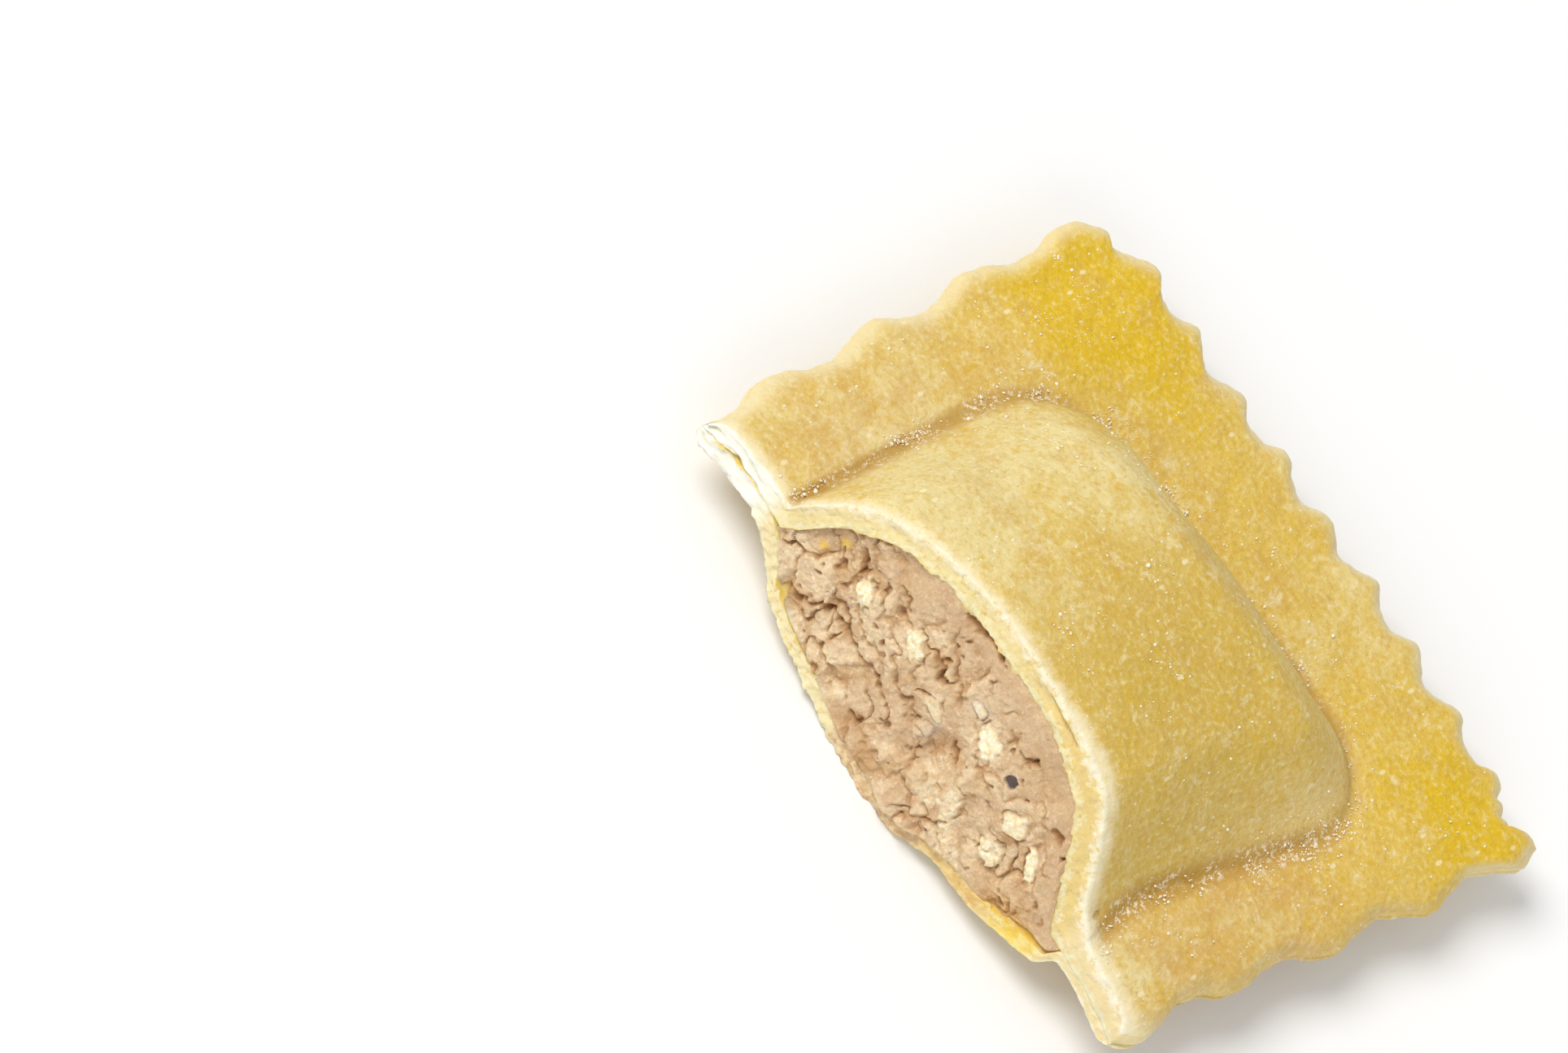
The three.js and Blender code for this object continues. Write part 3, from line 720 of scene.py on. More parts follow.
# Curds: x, height, half-length, half-height, rise, paleness.
CURDS = [
    (13.6, 2.6, 0.85, 0.62, 0.40, 0.95), (17.95, 3.45, 0.95, 0.60, 0.36, 0.9),
    (23.45, 4.7, 0.5, 0.42, 0.22, 0.65), (25.3, 4.0, 1.15, 0.75, 0.50, 1.0),
    (30.45, 2.4, 0.95, 0.70, 0.40, 0.82), (30.85, 0.0, 0.95, 0.72, 0.40, 0.78),
    (33.0, 1.75, 1.0, 0.45, 0.22, 0.95), (21.8, 2.3, 0.95, 0.55, 0.16, 0.45),
    (29.9, -2.2, 1.2, 0.7, 0.26, 0.35), (22.65, 0.25, 0.8, 0.6, 0.26, 0.15),
    (24.8, -1.45, 0.85, 0.65, 0.28, 0.15), (17.8, -2.6, 0.5, 0.36, 0.16, 0.4),
]
CURD_TURN = math.radians(-36)  # their length against the cut's own direction
# Cracks: x and height of both ends, half-width, depth.
CRACKS = [
    (10.8, -1.6, 12.75, -0.3, 0.13, 0.6), (12.75, -0.3, 14.2, -0.15, 0.20, 0.9),
    (14.2, -0.15, 16.3, -0.15, 0.16, 0.8), (16.3, -0.15, 18.9, -0.3, 0.15, 0.7),
    (11.6, 4.3, 12.4, 2.9, 0.15, 0.7), (10.6, 2.6, 11.6, 2.0, 0.13, 0.6),
    (14.7, 4.8, 16.3, 4.4, 0.10, 0.45), (18.4, 7.5, 20.6, 7.9, 0.17, 0.7),
    (20.6, 7.9, 21.7, 7.6, 0.20, 0.8), (20.3, 1.7, 21.4, 2.9, 0.08, 0.35),
    (24.5, 1.3, 25.5, 0.9, 0.16, 0.7), (27.0, 5.8, 28.4, 5.7, 0.13, 0.6),
    (31.7, 4.5, 32.6, 4.1, 0.16, 0.6), (33.5, 3.9, 33.9, 4.1, 0.16, 0.7),
    (19.4, -2.9, 20.5, -2.95, 0.15, 0.7), (25.2, -3.3, 27.8, -1.7, 0.07, 0.35),
    (18.9, 4.4, 20.5, 3.9, 0.14, 0.6), (13.9, 3.8, 14.6, 3.3, 0.14, 0.6),
    (19.2, 4.6, 19.9, 4.9, 0.12, 0.5),
]
CRACK_DEPTH, HOLE_DEPTH, CREASE_DEPTH, RING_DEPTH, DARK_DEPTH = 0.9, 0.42, 0.26, 0.26, 0.14
PLATE_STEPS, PLATE_HEIGHT = (-0.35, 0.0, 0.33), 0.12
GRANULES = [(0.5, 0.075, 161), (0.26, 0.04, 163)]  # spacing, height, seed
# Spots on the face: amount, x, height and reach both ways.
BROWNED = [(1.0, 29.6, 5.6, 2.6, 1.7), (0.55, 34.8, 1.8, 2.4, 2.4), (0.35, 14.5, 6.4, 3, 1.2)]
CURDLED = [(0.62, 27.0, -0.9, 2.2, 1.6)]
YOLKS = [(1, 10.6, 3.0, 0.35, 0.3), (1, 9.9, 1.8, 0.3, 0.25)]
GREY = [(1, 23.4, 4.7, 0.6, 0.5), (0.8, 22.9, 1.0, 0.4, 0.9)]
DARK_X, DARK_Z, DARK_HALF_LENGTH, DARK_HALF_HEIGHT = 28.1, 3.95, 0.50, 0.34
# Meat that stands over the lower sheet: amount, x, share of the height, reach both ways, unevenness.
OVERHANGING = [(0.75, 26.5, 0.0, 3.6, 0.14, 0.5), (0.25, 19.5, 0.0, 3.0, 0.10, 0.0)]


def on_face(x, z):
    return np.stack([x, 0 * x, z], axis=1)


def turned(x, z):
    """Along and across the curds' length."""
    cos, sin = math.cos(CURD_TURN), math.sin(CURD_TURN)
    return cos * x + sin * z, cos * z - sin * x


def steps(value, places, sharpness):
    return sum(smooth(value, at - sharpness, at + sharpness) for at in places)


def cracks(p, x, z):
    """The cracks' depth, how much of a crack each point is in, and a halo of painted shade around them."""
    depth, inside, crack_shade_halo = 0 * x, 0 * x, 0 * x
    for x0, z0, x1, z1, half_width, deep in CRACKS:
        along = ((x - x0) * (x1 - x0) + (z - z0) * (z1 - z0)) / ((x1 - x0) ** 2 + (z1 - z0) ** 2)
        along = np.clip(along, 0, 1)
        away = np.hypot(x - mix(x0, x1, along), z - mix(z0, z1, along))
        width = 1.25 * half_width * (0.5 + 0.7 * np.sin(math.pi * along)) * (1 + 0.5 * noise(p / 0.35, 187))
        line = bell(away, 0, np.maximum(width, 0.03))
        depth += deep * line
        inside = np.maximum(inside, line)
        crack_shade_halo = np.maximum(crack_shade_halo, bell(away, 0, 2.6 * half_width))
    return CRACK_DEPTH * depth, inside, crack_shade_halo


def meat_relief(x, z, below_dough):
    """How far the meat stands out of the cut, and its fields: painted shade in hollows and valleys, a painted
    highlight on the lumps' tops, curds, browning and paste.
    """
    p = on_face(x, z)
    warp_x, warp_z = 0.5 * layered(p / 1.5, 3, 101), 0.5 * layered(p / 1.5, 3, 111)
    jag = p + 0.16 * on_face(noise(p / 0.33, 115), noise(p / 0.33, 116))
    jag_x, jag_z = jag[:, 0], jag[:, 2]
    warped = jag + on_face(warp_x, warp_z)
    pasty = 1 - smooth(below_dough + 0.5 * noise(p / 1.2, 121), 1.1, 2.3)
    pasty = pasty * smooth(x, 12.5, 15.5)
    pasty = np.maximum(pasty, 0.75 * smooth(layered(p / 2.6, 2, 125), 0.25, 0.6))
    rough = 1 - 0.85 * pasty

    relief = 0.34 * layered(p / 3.4, 2, 131) + 0.06
    plates = layered(warped / 2.3, 2, 135)
    relief += rough * PLATE_HEIGHT * (steps(plates, PLATE_STEPS, 0.2) - 1.5)
    along, aside = turned(warped[:, 0], warped[:, 2])
    lumps = np.sqrt(noise(on_face(along / 1.7, aside / 1.05), 141) ** 2 + 0.09**2)
    small = np.sqrt(noise(warped / 0.6, 145) ** 2 + 0.14**2)
    lump_height = 0.55 * np.sqrt(np.minimum(lumps, 0.5)) + 0.12 * np.sqrt(np.minimum(small, 0.45))
    relief += rough * (lump_height - 0.39)
    relief += (0.03 + 0.05 * rough) * layered(p / 0.34, 3, 151)
    for spacing, height, seed in GRANULES:
        nearest, _ = cells(jag_x / spacing, jag_z / spacing, seed)
        relief += height * (0.35 + 0.65 * rough) * (0.5 - smooth(nearest, 0.1, 0.75))
    creases = smooth(0.24 - lumps, 0, 0.14) * smooth(noise(jag / 1.3, 155), 0.12, 0.5)
    relief -= CREASE_DEPTH * creases * rough

    nearest, number = cells(jag_x + 0.5 * warp_x, jag_z + 0.5 * warp_z, 181)
    size = 0.08 + 0.20 * np.mod(number * 5.1, 1)
    hole = smooth(size - nearest + 0.05 * noise(p / 0.2, 185), -0.02, 0.10) * (np.mod(number * 7.3, 1) < 0.26)
    hole = hole * smooth(layered(p / 2.8, 2, 186), -0.35, 0.15)
    relief -= HOLE_DEPTH * hole * (0.2 + 0.8 * rough)
    crack_depth, cracked, crack_shade_halo = cracks(p, jag_x + 0.6 * warp_x, jag_z + 0.6 * warp_z)
    relief -= crack_depth

    curd = 0 * x
    for at_x, at_z, half_x, half_z, rise, pale in CURDS:
        across, up = turned(x + 0.3 * warp_x - at_x, z + 0.3 * warp_z - at_z)
        q = (across / half_x) ** 2 + (up / half_z) ** 2
        q = q * (1 + 0.6 * noise(p / 0.5, 189)) + 0.12 * noise(p / 0.18, 190)
        inside = smooth(1.1 - q, 0, 0.3)
        dome = np.clip(1 - q, 0, 1) ** 0.5
        sunk = 0.5 * relief + 0.02 + 0.75 * rise * dome + 0.05 * layered(p / 0.35, 2, 191)
        relief = mix(relief, sunk, inside)
        ring = bell(q, 1.3, 0.28) * smooth(noise(p / 0.5, 195), -0.15, 0.35) * (1 - inside)
        relief -= RING_DEPTH * ring
        hole = np.maximum(hole, 0.45 * ring * (pale > 0.5))
        curd = np.maximum(curd, pale * smooth(1.15 - q, 0, 0.6))

    along, aside = turned(x - DARK_X, z - DARK_Z)
    dark_q = (along / DARK_HALF_LENGTH) ** 2 + (aside / DARK_HALF_HEIGHT) ** 2 + 0.7 * noise(p / 0.3, 205)
    dark = smooth(1.2 - dark_q, 0, 0.5)
    relief -= DARK_DEPTH * dark
    # Painted shade in the holes, cracks, creases, the curds' rings and under the lower plates.
    hollow_shade = np.clip(0.5 * creases * rough + 0.8 * hole + 0.9 * cracked, 0, 1)
    brown = smooth(layered(p / 1.7, 2, 201), 0.3, 0.75) * rough
    curdled = spots(x, z, CURDLED) * smooth(layered(p / 0.8, 3, 203), -0.4, 0.5)
    return relief, {
        "hollow_shade": np.maximum(hollow_shade, 0.35 * rough * smooth(0.0 - plates, 0.3, 0.5)),
        "curd": np.maximum(curd, curdled),
        "brown": np.clip(brown + spots(x, z, BROWNED), 0, 1),
        "pasty": pasty,
        "dark": dark,
        "yolk": spots(x, z, YOLKS),
        "grey": spots(x, z, GREY),
        # Painted shade between the lumps and in a halo around the cracks.
        "valley_shade": np.maximum(rough * smooth(0.35 - lump_height, 0.0, 0.13), 0.9 * crack_shade_halo),
        # A painted highlight on the lumps' tops.
        "top": rough * smooth(lump_height, 0.37, 0.46),
    }


def filling_faces():
    """The filling's lower and upper side, each in rows from the cut backwards."""
    side = np.linspace(FILLING_LEFT, FILLING_RIGHT, FILLING_COLUMNS + 1)
    share = row_share(np.linspace(0, 1, BODY_ROWS + 1))[:, None]
    grids = []
    for face, gap in ((bottom_inner, FILLING_GAP), (top_inner, -FILLING_GAP)):
        start = cut_start(face, lambda y: (pillow_centre(y) + side, y), len(side))
        y = start + (FILLING_FAR_Y - start) * share
        x = pillow_centre(y) + side
        z = face(x.ravel(), y.ravel()).reshape(x.shape) + gap
        grids.append(np.stack([x, y, z], axis=2))
    low, high = grids
    low[..., 2] = np.minimum(low[..., 2], high[..., 2] - 0.05)
    return low, high


def cut_face(low, high):
    """The filling's face in the cut, from its lower to its upper border, and its fields."""
    count = len(low)
    share = np.linspace(0, 1, FACE_ROWS + 1)
    flat = mix(low[None], high[None], share[:, None, None]).reshape(-1, 3)
    rows, columns = np.repeat(share, count), np.tile(np.linspace(0, 1, count), FACE_ROWS + 1)
    height = np.tile((high - low)[:, 2], FACE_ROWS + 1)
    x = flat[:, 0]
    relief, fields = meat_relief(x, flat[:, 2], (1 - rows) * height)
    # The relief fades where the meat meets the dough.
    to_dough = np.minimum(rows, 1 - rows) * height
    to_end = np.minimum(columns, 1 - columns) * (FILLING_RIGHT - FILLING_LEFT)
    held = smooth(to_dough, -0.15, 0.35) * smooth(to_end, -0.1, 0.6)
    relief = relief * held - 0.05
    for amount, *where, unevenness in OVERHANGING:
        relief += amount * spot(x, rows, *where) * (1 + unevenness * noise(flat / 0.7, 231))
    relief -= 1.1 * smooth(x, 32.5, 37.5) * (1 - smooth(rows, 0.05, 0.4))
    p = on_face(x, flat[:, 2])
    slide = (0.10 * held)[:, None] * on_face(layered(p / 0.6, 2, 211), layered(p / 0.6, 2, 221))
    fields["end"] = smooth(x, 31.0, 36.5) * (1 - smooth(rows, 0.1, 0.5))
    return flat + CUT_NORMAL * relief[:, None] + slide, fields


def make_filling(material):
    low, high = filling_faces()
    face, fields = cut_face(low[0], high[0])
    columns = low.shape[1]
    face_index = np.arange(len(face)).reshape(FACE_ROWS + 1, columns)
    behind = len(face) + np.arange(2 * BODY_ROWS * columns).reshape(2, BODY_ROWS, columns)
    low_index = np.concatenate([face_index[:1], behind[0]])
    high_index = np.concatenate([face_index[-1:], behind[1]])
    points = np.concatenate([face, low[1:].reshape(-1, 3), high[1:].reshape(-1, 3)])
    back = grid_quads(np.stack([high_index[-1], low_index[-1]]))
    quads = [grid_quads(face_index), grid_quads(high_index), grid_quads(low_index)[:, ::-1], back]
    fans = []
    for end, way in ((0, -1), (-1, 1)):
        side = np.stack([low_index[1:, end], high_index[1:, end]])
        quads.append(grid_quads(side)[:, ::way])
        # A fan closes the side between the face's end and the first row behind it.
        ends, half = face_index[:, end], FACE_ROWS // 2
        behind_low, behind_high = low_index[1, end], high_index[1, end]
        ring = [(ends[k], ends[k + 1], behind_low if k < half else behind_high) for k in range(FACE_ROWS)]
        ring.append((ends[half], behind_high, behind_low))
        fans += [triangle[::-way] for triangle in ring]
    behind_face = np.zeros(len(points) - len(face))
    fields = {key: np.concatenate([values, behind_face]) for key, values in fields.items()}
    piece = make_piece("meat_filling", points, quads + [np.array(fans)], fields, material)
    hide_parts("filling")


# Materials.

def linear(r, g, b):
    """An sRGB colour given from 0 to 255 as the shader's linear colour."""
    shares = (value / 255 for value in (r, g, b))
    return (*(v / 12.92 if v <= 0.04045 else ((v + 0.055) / 1.055) ** 2.4 for v in shares), 1.0)


class Nodes:
    """Short names for making a material's nodes."""

    def __init__(self, name):
        self.material = bpy.data.materials.new(name)
        self.material.use_nodes = True
        self.tree = self.material.node_tree
        self.place = self.add("ShaderNodeTexCoord", "Object", {})

    def feed(self, socket, value):
        if isinstance(value, bpy.types.NodeSocket):
            self.tree.links.new(value, socket)
        else:
            socket.default_value = value

    def add(self, kind, output, inputs, **settings):
        """An output of a new node, whose inputs are fed."""
        node = self.tree.nodes.new(kind)
        for key, value in settings.items():
            setattr(node, key, value)
        for key, value in inputs.items():
            self.feed(node.inputs[key], value)
        return node.outputs[output]

    def math(self, operation, *values):
        return self.add("ShaderNodeMath", 0, dict(enumerate(values)), operation=operation)

    def times(self, a, b):
        return self.math("MULTIPLY", a, b)

    def plus(self, value, noise, amount):
        return self.math("MULTIPLY_ADD", noise, amount, value)

    def uneven(self, value, noise, amount):
        """A value with noise around 0 added."""
        return self.plus(value, self.math("SUBTRACT", noise, 0.5), amount)

    def ramp(self, value, low, high, to_low=0.0, to_high=1.0):
        inputs = {"Value": value, "From Min": low, "From Max": high, "To Min": to_low, "To Max": to_high}
        return self.add("ShaderNodeMapRange", "Result", inputs, interpolation_type="SMOOTHSTEP")

    def field(self, name):
        return self.add("ShaderNodeAttribute", "Fac", {}, attribute_name=name)

    def masked(self, name, share):
        return self.times(self.field(name), share)

    def noise(self, size_mm, detail=2.0, roughness=0.5, distortion=0.0):
        inputs = {"Vector": self.place, "Scale": 1 / (size_mm * MM), "Detail": detail}
        inputs.update({"Roughness": roughness, "Distortion": distortion})
        return self.add("ShaderNodeTexNoise", "Fac", inputs)

    def specks(self, spacing_mm, narrowing, reach, core, without):
        """Scattered specks, whose reach is in shares of the spacing; a share of the places is without one."""
        stretch = {"Vector": self.place, "Scale": (1.0, narrowing, 1.0)}
        place = self.add("ShaderNodeMapping", "Vector", stretch)
        inputs = {"Vector": place, "Scale": 1 / (spacing_mm * MM)}
        distance = self.add("ShaderNodeTexVoronoi", "Distance", inputs, feature="F1")
        number = self.add("ShaderNodeSeparateColor", "Green", {"Color": distance.node.outputs["Color"]})
        return self.times(self.ramp(distance, reach, core), self.math("GREATER_THAN", number, without))

    def colour(self, factor, a, b):
        a, b = (linear(*value) if isinstance(value, tuple) else value for value in (a, b))
        return self.add("ShaderNodeMix", 2, {"Factor": factor, 6: a, 7: b}, data_type="RGBA")

    def over(self, colour, *layers):
        """A colour with others laid over it, each by its own factor."""
        for factor, tint in layers:
            colour = self.colour(factor, colour, tint)
        return colour

    def surface(self, colour, roughness, specular, height=None, height_mm=0.0, strength=1.0, **more):
        more.update({"Base Color": colour, "Roughness": roughness, "Specular IOR Level": specular})
        if height is not None:
            inputs = {"Height": height, "Distance": height_mm * MM, "Strength": strength}
            more["Normal"] = self.add("ShaderNodeBump", "Normal", inputs)
        for key, value in more.items():
            self.feed(self.tree.nodes["Principled BSDF"].inputs[key], value)
        return self.material


def soft(weight, radius, scale_mm):
    return {"Subsurface Weight": weight, "Subsurface Radius": radius, "Subsurface Scale": scale_mm * MM}


# Colours are given from 0 to 255.
PALE_YELLOW, MID_YELLOW, DEEP_YELLOW = (234, 217, 156), (222, 190, 94), (222, 185, 24)
OLIVE_DOUGH, TAN_DOUGH, BROWNER_DOUGH = (197, 167, 84), (210, 167, 94), (208, 170, 92)
PAINTED_LIGHT_YELLOW, MOTTLE_PALE, MOTTLE_DEEP = (240, 214, 150), (242, 230, 184), (196, 154, 56)
CLEAR_DOUGH, FLOURY, CREASE_TAN_AND_SHADE, POWDER = (214, 176, 44), (240, 228, 186), (190, 148, 66), (252, 244, 222)
SEMOLINA, PALE_GRAIN, BROWN_SPECK = (250, 244, 222), (250, 240, 206), (112, 76, 36)
PIT_SHADE_BROWN, SKIN, CUT_WHITE, CUT_CREAM = (186, 146, 44), (242, 232, 196), (243, 235, 208), (238, 224, 180)
CUT_BAND, BAND_YELLOW, CUT_INSIDE = (234, 216, 158), (228, 200, 124), (242, 230, 190)
CUT_TAN, CORNER_WHITE = (226, 192, 108), (253, 250, 236)
# Two colours in patches.
STRIP_YELLOW, SOAKED_DOUGH = ((240, 206, 72), (240, 222, 148)), ((216, 176, 104), (236, 208, 146))
SMEARED_MEAT, INSIDE = ((206, 168, 122), (232, 206, 164)), ((238, 206, 92), (240, 220, 150))


def dough_material(name):
    n = Nodes(name)
    mottle, broad, fine = n.noise(1.0, 4, 0.62, 0.3), n.noise(5.0, 2, 0.5), n.noise(0.36, 3, 0.62)
    patches = n.noise(0.55, 3, 0.65)
    yellow = n.uneven(n.uneven(n.field("yellow"), broad, 0.8), mottle, 0.9)
    tan = n.ramp(n.noise(2.6, 3, 0.55, 0.4), 0.34, 0.6, 0.35, 0.8)
    # Floury patches are fewer in the deep yellow.
    floury = n.ramp(n.noise(1.2, 4, 0.7, 0.6), 0.54, 0.74, 0.0, 0.55)
    floury = n.times(floury, n.ramp(n.field("yellow"), 0.6, 1.2, 1.0, 0.35))
    powder = n.times(n.ramp(n.field("crease"), 0.35, 0.9), n.ramp(n.noise(0.32, 4, 0.75), 0.52, 0.60))
    powder = n.times(powder, n.ramp(n.noise(2.4, 2, 0.5), 0.42, 0.58))
    semolina = n.times(n.specks(0.5, 0.7, 0.20, 0.12, 0.72), n.ramp(n.noise(2.2, 3), 0.44, 0.58))
    colour = n.over(
        PALE_YELLOW,
        (n.ramp(yellow, -0.05, 0.45), MID_YELLOW),
        (n.ramp(yellow, 0.35, 1.0), DEEP_YELLOW),
        (n.masked("olive", 0.68), OLIVE_DOUGH),
        (n.masked("tan", tan), TAN_DOUGH),
        (n.ramp(n.noise(2.6, 4, 0.6, 0.5), 0.48, 0.70, 0.0, 0.42), BROWNER_DOUGH),
        # Painted light on the dome's far right corner.
        (n.masked("painted_light_corner", 0.75), PAINTED_LIGHT_YELLOW),
        (n.ramp(fine, 0.5, 0.74, 0.0, 0.46), MOTTLE_PALE),
        (n.ramp(fine, 0.5, 0.28, 0.0, 0.44), MOTTLE_DEEP),
        (n.ramp(n.noise(0.8, 3, 0.6, 0.5), 0.54, 0.72, 0.0, 0.55), CLEAR_DOUGH),
        (floury, FLOURY),
        # Along the dome's foot: partly the dough's own tan and partly painted shade in the crease.
        (n.ramp(n.field("crease"), 0.3, 1.0, 0.0, 0.85), CREASE_TAN_AND_SHADE),
        (n.times(powder, 0.75), POWDER),
        (n.times(semolina, 0.8), SEMOLINA),
        (n.times(n.specks(1.3, 0.6, 0.16, 0.07, 0.6), 0.55), PALE_GRAIN),
        (n.times(n.specks(3.2, 0.55, 0.040, 0.022, 0.66), 0.8), BROWN_SPECK),
        # The dough pales towards its edges.
        (n.masked("edge", 0.7), CUT_CREAM),
        # Painted shade in the pit where the crease meets the cut.
        (n.ramp(n.field("pit"), 0.35, 0.8, 0.0, 0.8), PIT_SHADE_BROWN),
        (n.ramp(n.uneven(n.field("near"), mottle, 1.4), 0.1, 1.1, 0.0, 0.85), SKIN),
    )
    # The cut shows layers.
    depth = n.uneven(n.field("depth"), patches, 1.3)
    smeared = n.uneven(n.field("smeared"), mottle, 1.6)
    layers = n.over(
        CUT_WHITE,
        (n.ramp(depth, -0.05, 0.28), CUT_CREAM),
        (n.ramp(depth, 0.18, 0.50), CUT_BAND),
        (n.masked("band", n.ramp(depth, 0.12, 0.40, 0.0, 0.75)), BAND_YELLOW),
        (n.ramp(depth, 0.68, 0.98, 0.0, 0.8), CUT_INSIDE),
        (n.masked("under", 0.75), CUT_CREAM),
        (n.ramp(n.noise(0.4, 3, 0.65), 0.54, 0.68, 0.0, 0.7), CUT_TAN),
        (n.masked("strip", 0.8), n.colour(n.ramp(patches, 0.40, 0.60), *STRIP_YELLOW)),
        (n.ramp(smeared, 0.25, 0.65, 0.0, 0.92), n.colour(n.ramp(patches, 0.38, 0.62), *SMEARED_MEAT)),
        (n.masked("soaked", 0.8), n.colour(n.ramp(patches, 0.40, 0.60), *SOAKED_DOUGH)),
        (n.masked("corner", 0.9), CORNER_WHITE),
    )
    inside = n.colour(n.ramp(patches, 0.42, 0.60), *INSIDE)
    colour = n.over(colour, (n.field("cut"), layers), (n.masked("inner", 0.8), inside))
    height = n.plus(n.plus(fine, n.noise(0.16, 2, 0.6), 0.25), n.noise(0.55, 3, 0.6), 1.2)
    height = n.plus(height, semolina, 0.5)
    roughness = n.ramp(mottle, 0.3, 0.7, 0.46, 0.6)
    return n.surface(colour, roughness, 0.34, height, 0.09, 0.85, **soft(0.3, (1.0, 0.66, 0.28), 0.7))


MEAT_PALE, MEAT_BROWN, MEAT_GRIT = (230, 203, 160), (210, 176, 134), (182, 140, 98)
LIGHT_GRAIN, DARK_GRAIN, CURD = (248, 232, 202), (192, 148, 102), ((246, 218, 160), (255, 250, 222))
# Field, share and colour, one over the other: under the curds and over them.
MEAT_TINTS = [
    # Painted shade between the lumps and a painted highlight on their tops; the row below ends with painted
    # shade in the holes, cracks and creases.
    ("valley_shade", 0.55, (190, 144, 88)), ("top", 0.4, (242, 222, 186)), ("pasty", 0.45, (212, 180, 140)),
    ("brown", 0.45, (198, 156, 104)), ("grey", 0.6, (208, 202, 194)), ("hollow_shade", 0.62, (170, 114, 56)),
    ("dark", 0.95, (78, 62, 64)),
]
LAST_TINTS = [("yolk", 0.8, (238, 196, 70)), ("end", 0.6, (222, 172, 92))]


def meat_material():
    n = Nodes("meat_paste")
    tone, fine, grit = n.noise(1.8, 3, 0.6, 0.4), n.noise(0.30, 4, 0.7), n.noise(0.13, 2, 0.6)
    colour = n.over(
        MEAT_PALE,
        (n.ramp(tone, 0.40, 0.60), MEAT_BROWN),
        (n.ramp(fine, 0.50, 0.68, 0.0, 0.8), LIGHT_GRAIN),
        (n.ramp(fine, 0.50, 0.32, 0.0, 0.45), DARK_GRAIN),
        (n.ramp(grit, 0.54, 0.32, 0.0, 0.42), MEAT_GRIT),
        *((n.masked(name, share), tint) for name, share, tint in MEAT_TINTS),
        (n.field("curd"), n.colour(n.ramp(fine, 0.36, 0.60), *CURD)),
        *((n.masked(name, share), tint) for name, share, tint in LAST_TINTS),
    )
    roughness = n.ramp(tone, 0.35, 0.65, 0.42, 0.6)
    height = n.plus(fine, grit, 0.6)
    return n.surface(colour, roughness, 0.5, height, 0.10, 0.9, **soft(0.32, (1.0, 0.55, 0.3), 0.55))


def flour_material():
    n = Nodes("flour")
    colour = n.colour(n.noise(0.3, 2), (254, 248, 232), (248, 234, 200))
    return n.surface(colour, 0.8, 0.3, n.noise(0.05, 1), 0.02)


def floor_material():
    n = Nodes("pale_floor")
    return n.surface(n.colour(n.noise(40, 2), (250, 250, 250), (248, 248, 248)), 0.9, 0.1)


# Grains of flour on the dough.

GRAINS_AT_FOOT, GRAINS_SCATTERED = 3000, 760
ICO = (1 + 5**0.5) / 2
ICO_POINTS = np.array(
    [(-1, ICO, 0), (1, ICO, 0), (-1, -ICO, 0), (1, -ICO, 0), (0, -1, ICO), (0, 1, ICO),
     (0, -1, -ICO), (0, 1, -ICO), (ICO, 0, -1), (ICO, 0, 1), (-ICO, 0, -1), (-ICO, 0, 1)]
) / math.hypot(1, ICO)
ICO_FACES = np.array(
    [(0, 11, 5), (0, 5, 1), (0, 1, 7), (0, 7, 10), (0, 10, 11), (1, 5, 9), (5, 11, 4), (11, 10, 2),
     (10, 7, 6), (7, 1, 8), (3, 9, 4), (3, 4, 2), (3, 2, 6), (3, 6, 8), (3, 8, 9), (4, 9, 5),
     (2, 4, 11), (6, 2, 10), (8, 6, 7), (9, 8, 1)]
)


def make_flour(material):
    rng = np.random.default_rng(11)
    tries = 60000
    x, y = rng.uniform(2, 46, tries), rng.uniform(0.5, 28, tries)
    ground = plan(x, y)
    distance = foot_distance(x, y) + 0.3 * noise(ground / 2.5, 301)
    dust = bell(distance, 0.25, np.where(distance > 0.25, 0.75, 0.35))
    dust = dust * smooth(layered(ground / 1.6, 3, 305), -0.25, 0.6) ** 1.5 * (1 - 0.6 * smooth(x, 28, 36))
    behind_cut = y - top_outer(x, y) * CUT_LEAN
    at_foot = np.flatnonzero((rng.random(tries) < dust) & (behind_cut > 0.4))[:GRAINS_AT_FOOT]
    sizes = 0.036 + 0.06 * rng.random(tries) ** 2.2 + 0.05 * (rng.random(tries) < 0.08)
    inside = (x > left_edge(y) + 1.2) & (x < right_edge(y) - 1.2) & (behind_cut > 0.5)
    spread = smooth(layered(ground / 2.5, 3, 311), 0.0, 0.9)
    scattered = np.flatnonzero((rng.random(tries) < 0.1 * spread) & inside)[:GRAINS_SCATTERED]
    chosen = np.concatenate([at_foot, scattered])
    x, y, sizes = x[chosen], y[chosen], sizes[chosen]
    points, faces = [], []
    for k, (place, size) in enumerate(zip(np.stack([x, y, top_outer(x, y)], axis=1), sizes)):
        shape = ICO_POINTS * rng.uniform(0.6, 1.35, (12, 1)) * rng.uniform(0.55, 1.3, 3)
        angle = rng.uniform(0, TAU)
        turn = np.array(Matrix.Rotation(angle, 3, "Z"))
        points.append(place + shape @ turn.T * size + (0, 0, 0.35 * size))
        faces.append(ICO_FACES + 12 * k)
    make_piece("flour", np.concatenate(points), faces, {}, material)


# The scene around the piece.

PIXELS_WIDE, PIXELS_HIGH = 1928, 1295
PIXELS_PER_MM = 20.3
CAMERA_DISTANCE = 1500.0
CAMERA_ELEVATION = math.radians(60)
CUT_IN_IMAGE = (0.549, 0.836)  # the way that +X runs in the image, rightwards and downwards
CORNER_IN_IMAGE = (868.0, 525.0)  # the cut's left end in the image, in pixels
CORNER = Vector((0.0, 0.0, -0.45))
SENSOR_WIDTH = 36.0


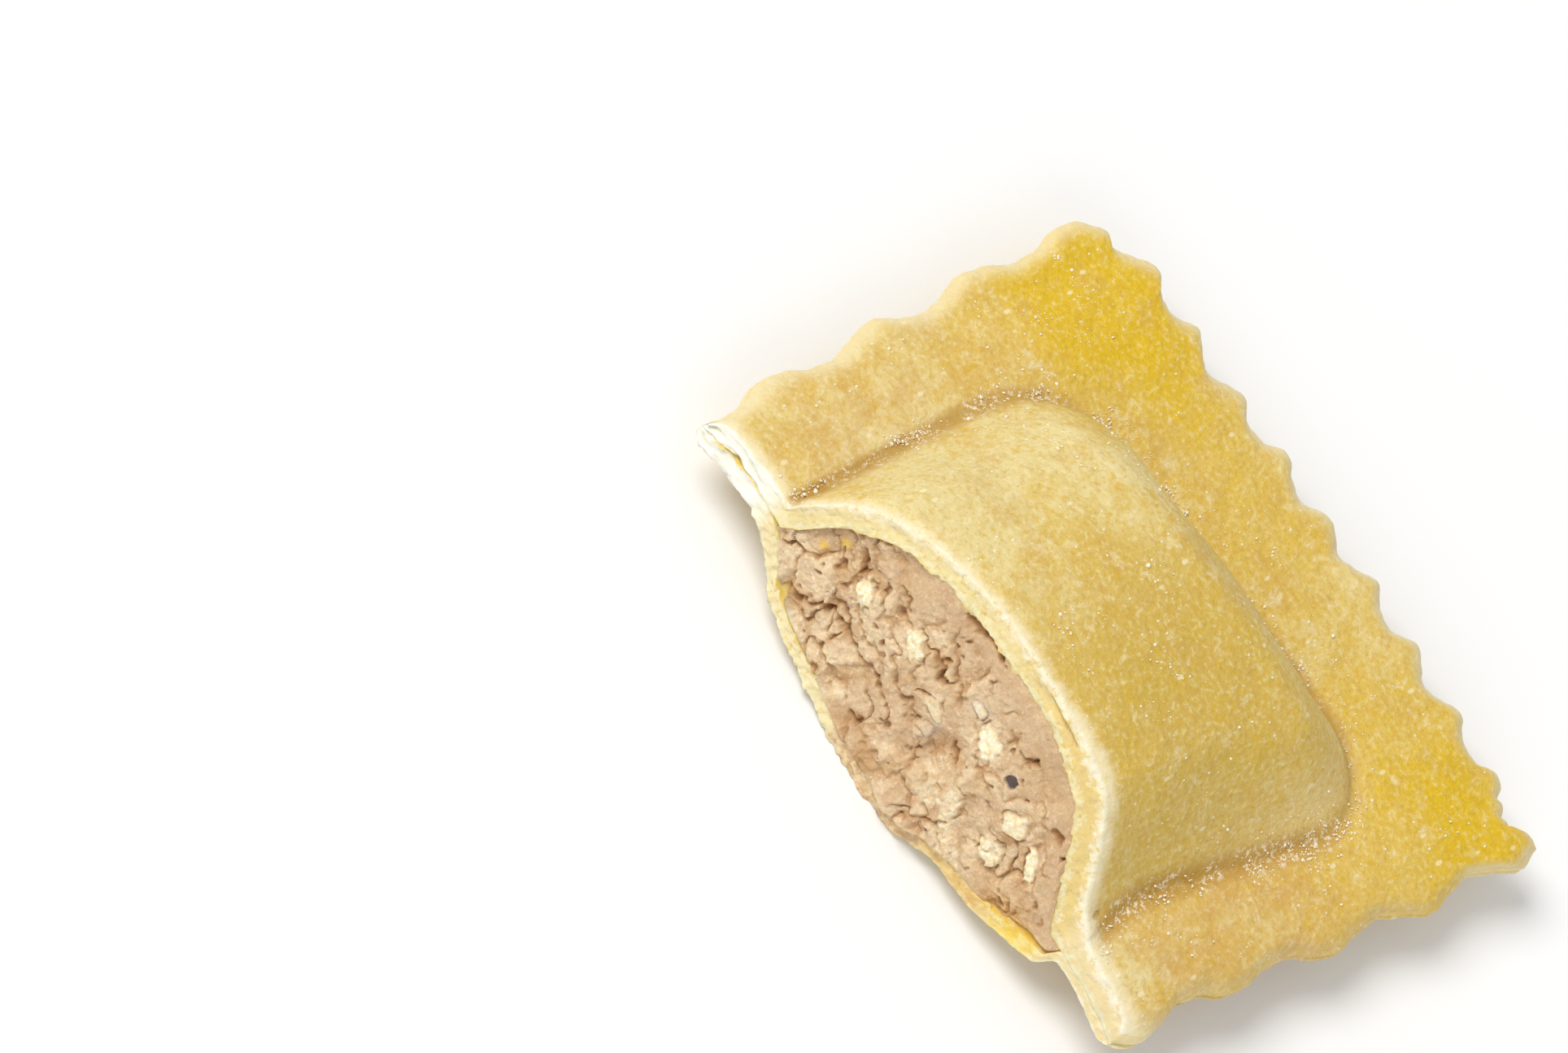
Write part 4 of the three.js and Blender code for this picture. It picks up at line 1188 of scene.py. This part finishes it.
def make_camera():
    level_right = Vector((1, 0, 0))
    view_up = Vector((0, math.sin(CAMERA_ELEVATION), math.cos(CAMERA_ELEVATION)))
    forward = Vector((0, math.cos(CAMERA_ELEVATION), -math.sin(CAMERA_ELEVATION)))
    along, down = CUT_IN_IMAGE
    right = level_right * along + view_up * down
    up = view_up * along - level_right * down
    offset = [
        (middle - corner) / PIXELS_PER_MM
        for middle, corner in zip((PIXELS_WIDE / 2, PIXELS_HIGH / 2), CORNER_IN_IMAGE)
    ]
    target = CORNER + right * offset[0] - up * offset[1]
    place = (target - forward * CAMERA_DISTANCE - Vector(ORIGIN)) * MM
    data = bpy.data.cameras.new("camera")
    data.sensor_width = SENSOR_WIDTH
    data.lens = PIXELS_PER_MM * CAMERA_DISTANCE / PIXELS_WIDE * SENSOR_WIDTH
    data.clip_start, data.clip_end = 0.05, 20
    camera = placed("camera", data)
    axes = Matrix((right, up, -forward)).transposed()
    camera.matrix_world = Matrix.Translation(place) @ axes.to_4x4()
    bpy.context.scene.camera = camera


def make_light(name, place, size, power, colour=(1, 1, 1)):
    data = bpy.data.lights.new(name, "AREA")
    data.shape, data.size, data.energy, data.color = "DISK", size, power, colour
    light = placed(name, data)
    light.location = place
    light.rotation_euler = (-Vector(place)).to_track_quat("-Z", "Y").to_euler()


def make_stage():
    mesh = bpy.data.meshes.new("floor")
    mesh.from_pydata([(-1, -1, 0), (1, -1, 0), (1, 1, 0), (-1, 1, 0)], [], [(0, 1, 2, 3)])
    mesh.materials.append(floor_material())
    floor = placed("floor", mesh)
    make_light("key", (-0.64, -0.28, 0.98), 0.62, 9.4, (1.0, 0.99, 0.975))
    make_light("fill", (0.66, -0.74, 0.62), 1.0, 2.7)
    world = bpy.data.worlds.new("studio")
    world.use_nodes = True
    background = world.node_tree.nodes["Background"]
    background.inputs["Color"].default_value = (1, 1, 1, 1)
    background.inputs["Strength"].default_value = 0.5
    bpy.context.scene.world = world
    bpy.context.scene.view_settings.view_transform = "Standard"
    bpy.context.scene.view_settings.look = "None"


make_camera()
make_stage()
egg_dough = dough_material("egg_dough")
make_sheet("top_dough", top_outer, top_inner, 1, egg_dough, "top_sheet", 1, top_cut)
make_sheet(
    "bottom_dough", bottom_outer, bottom_inner, -1, egg_dough, "bottom_sheet", 2, bottom_cut
)
make_filling(meat_material())
make_flour(flour_material())
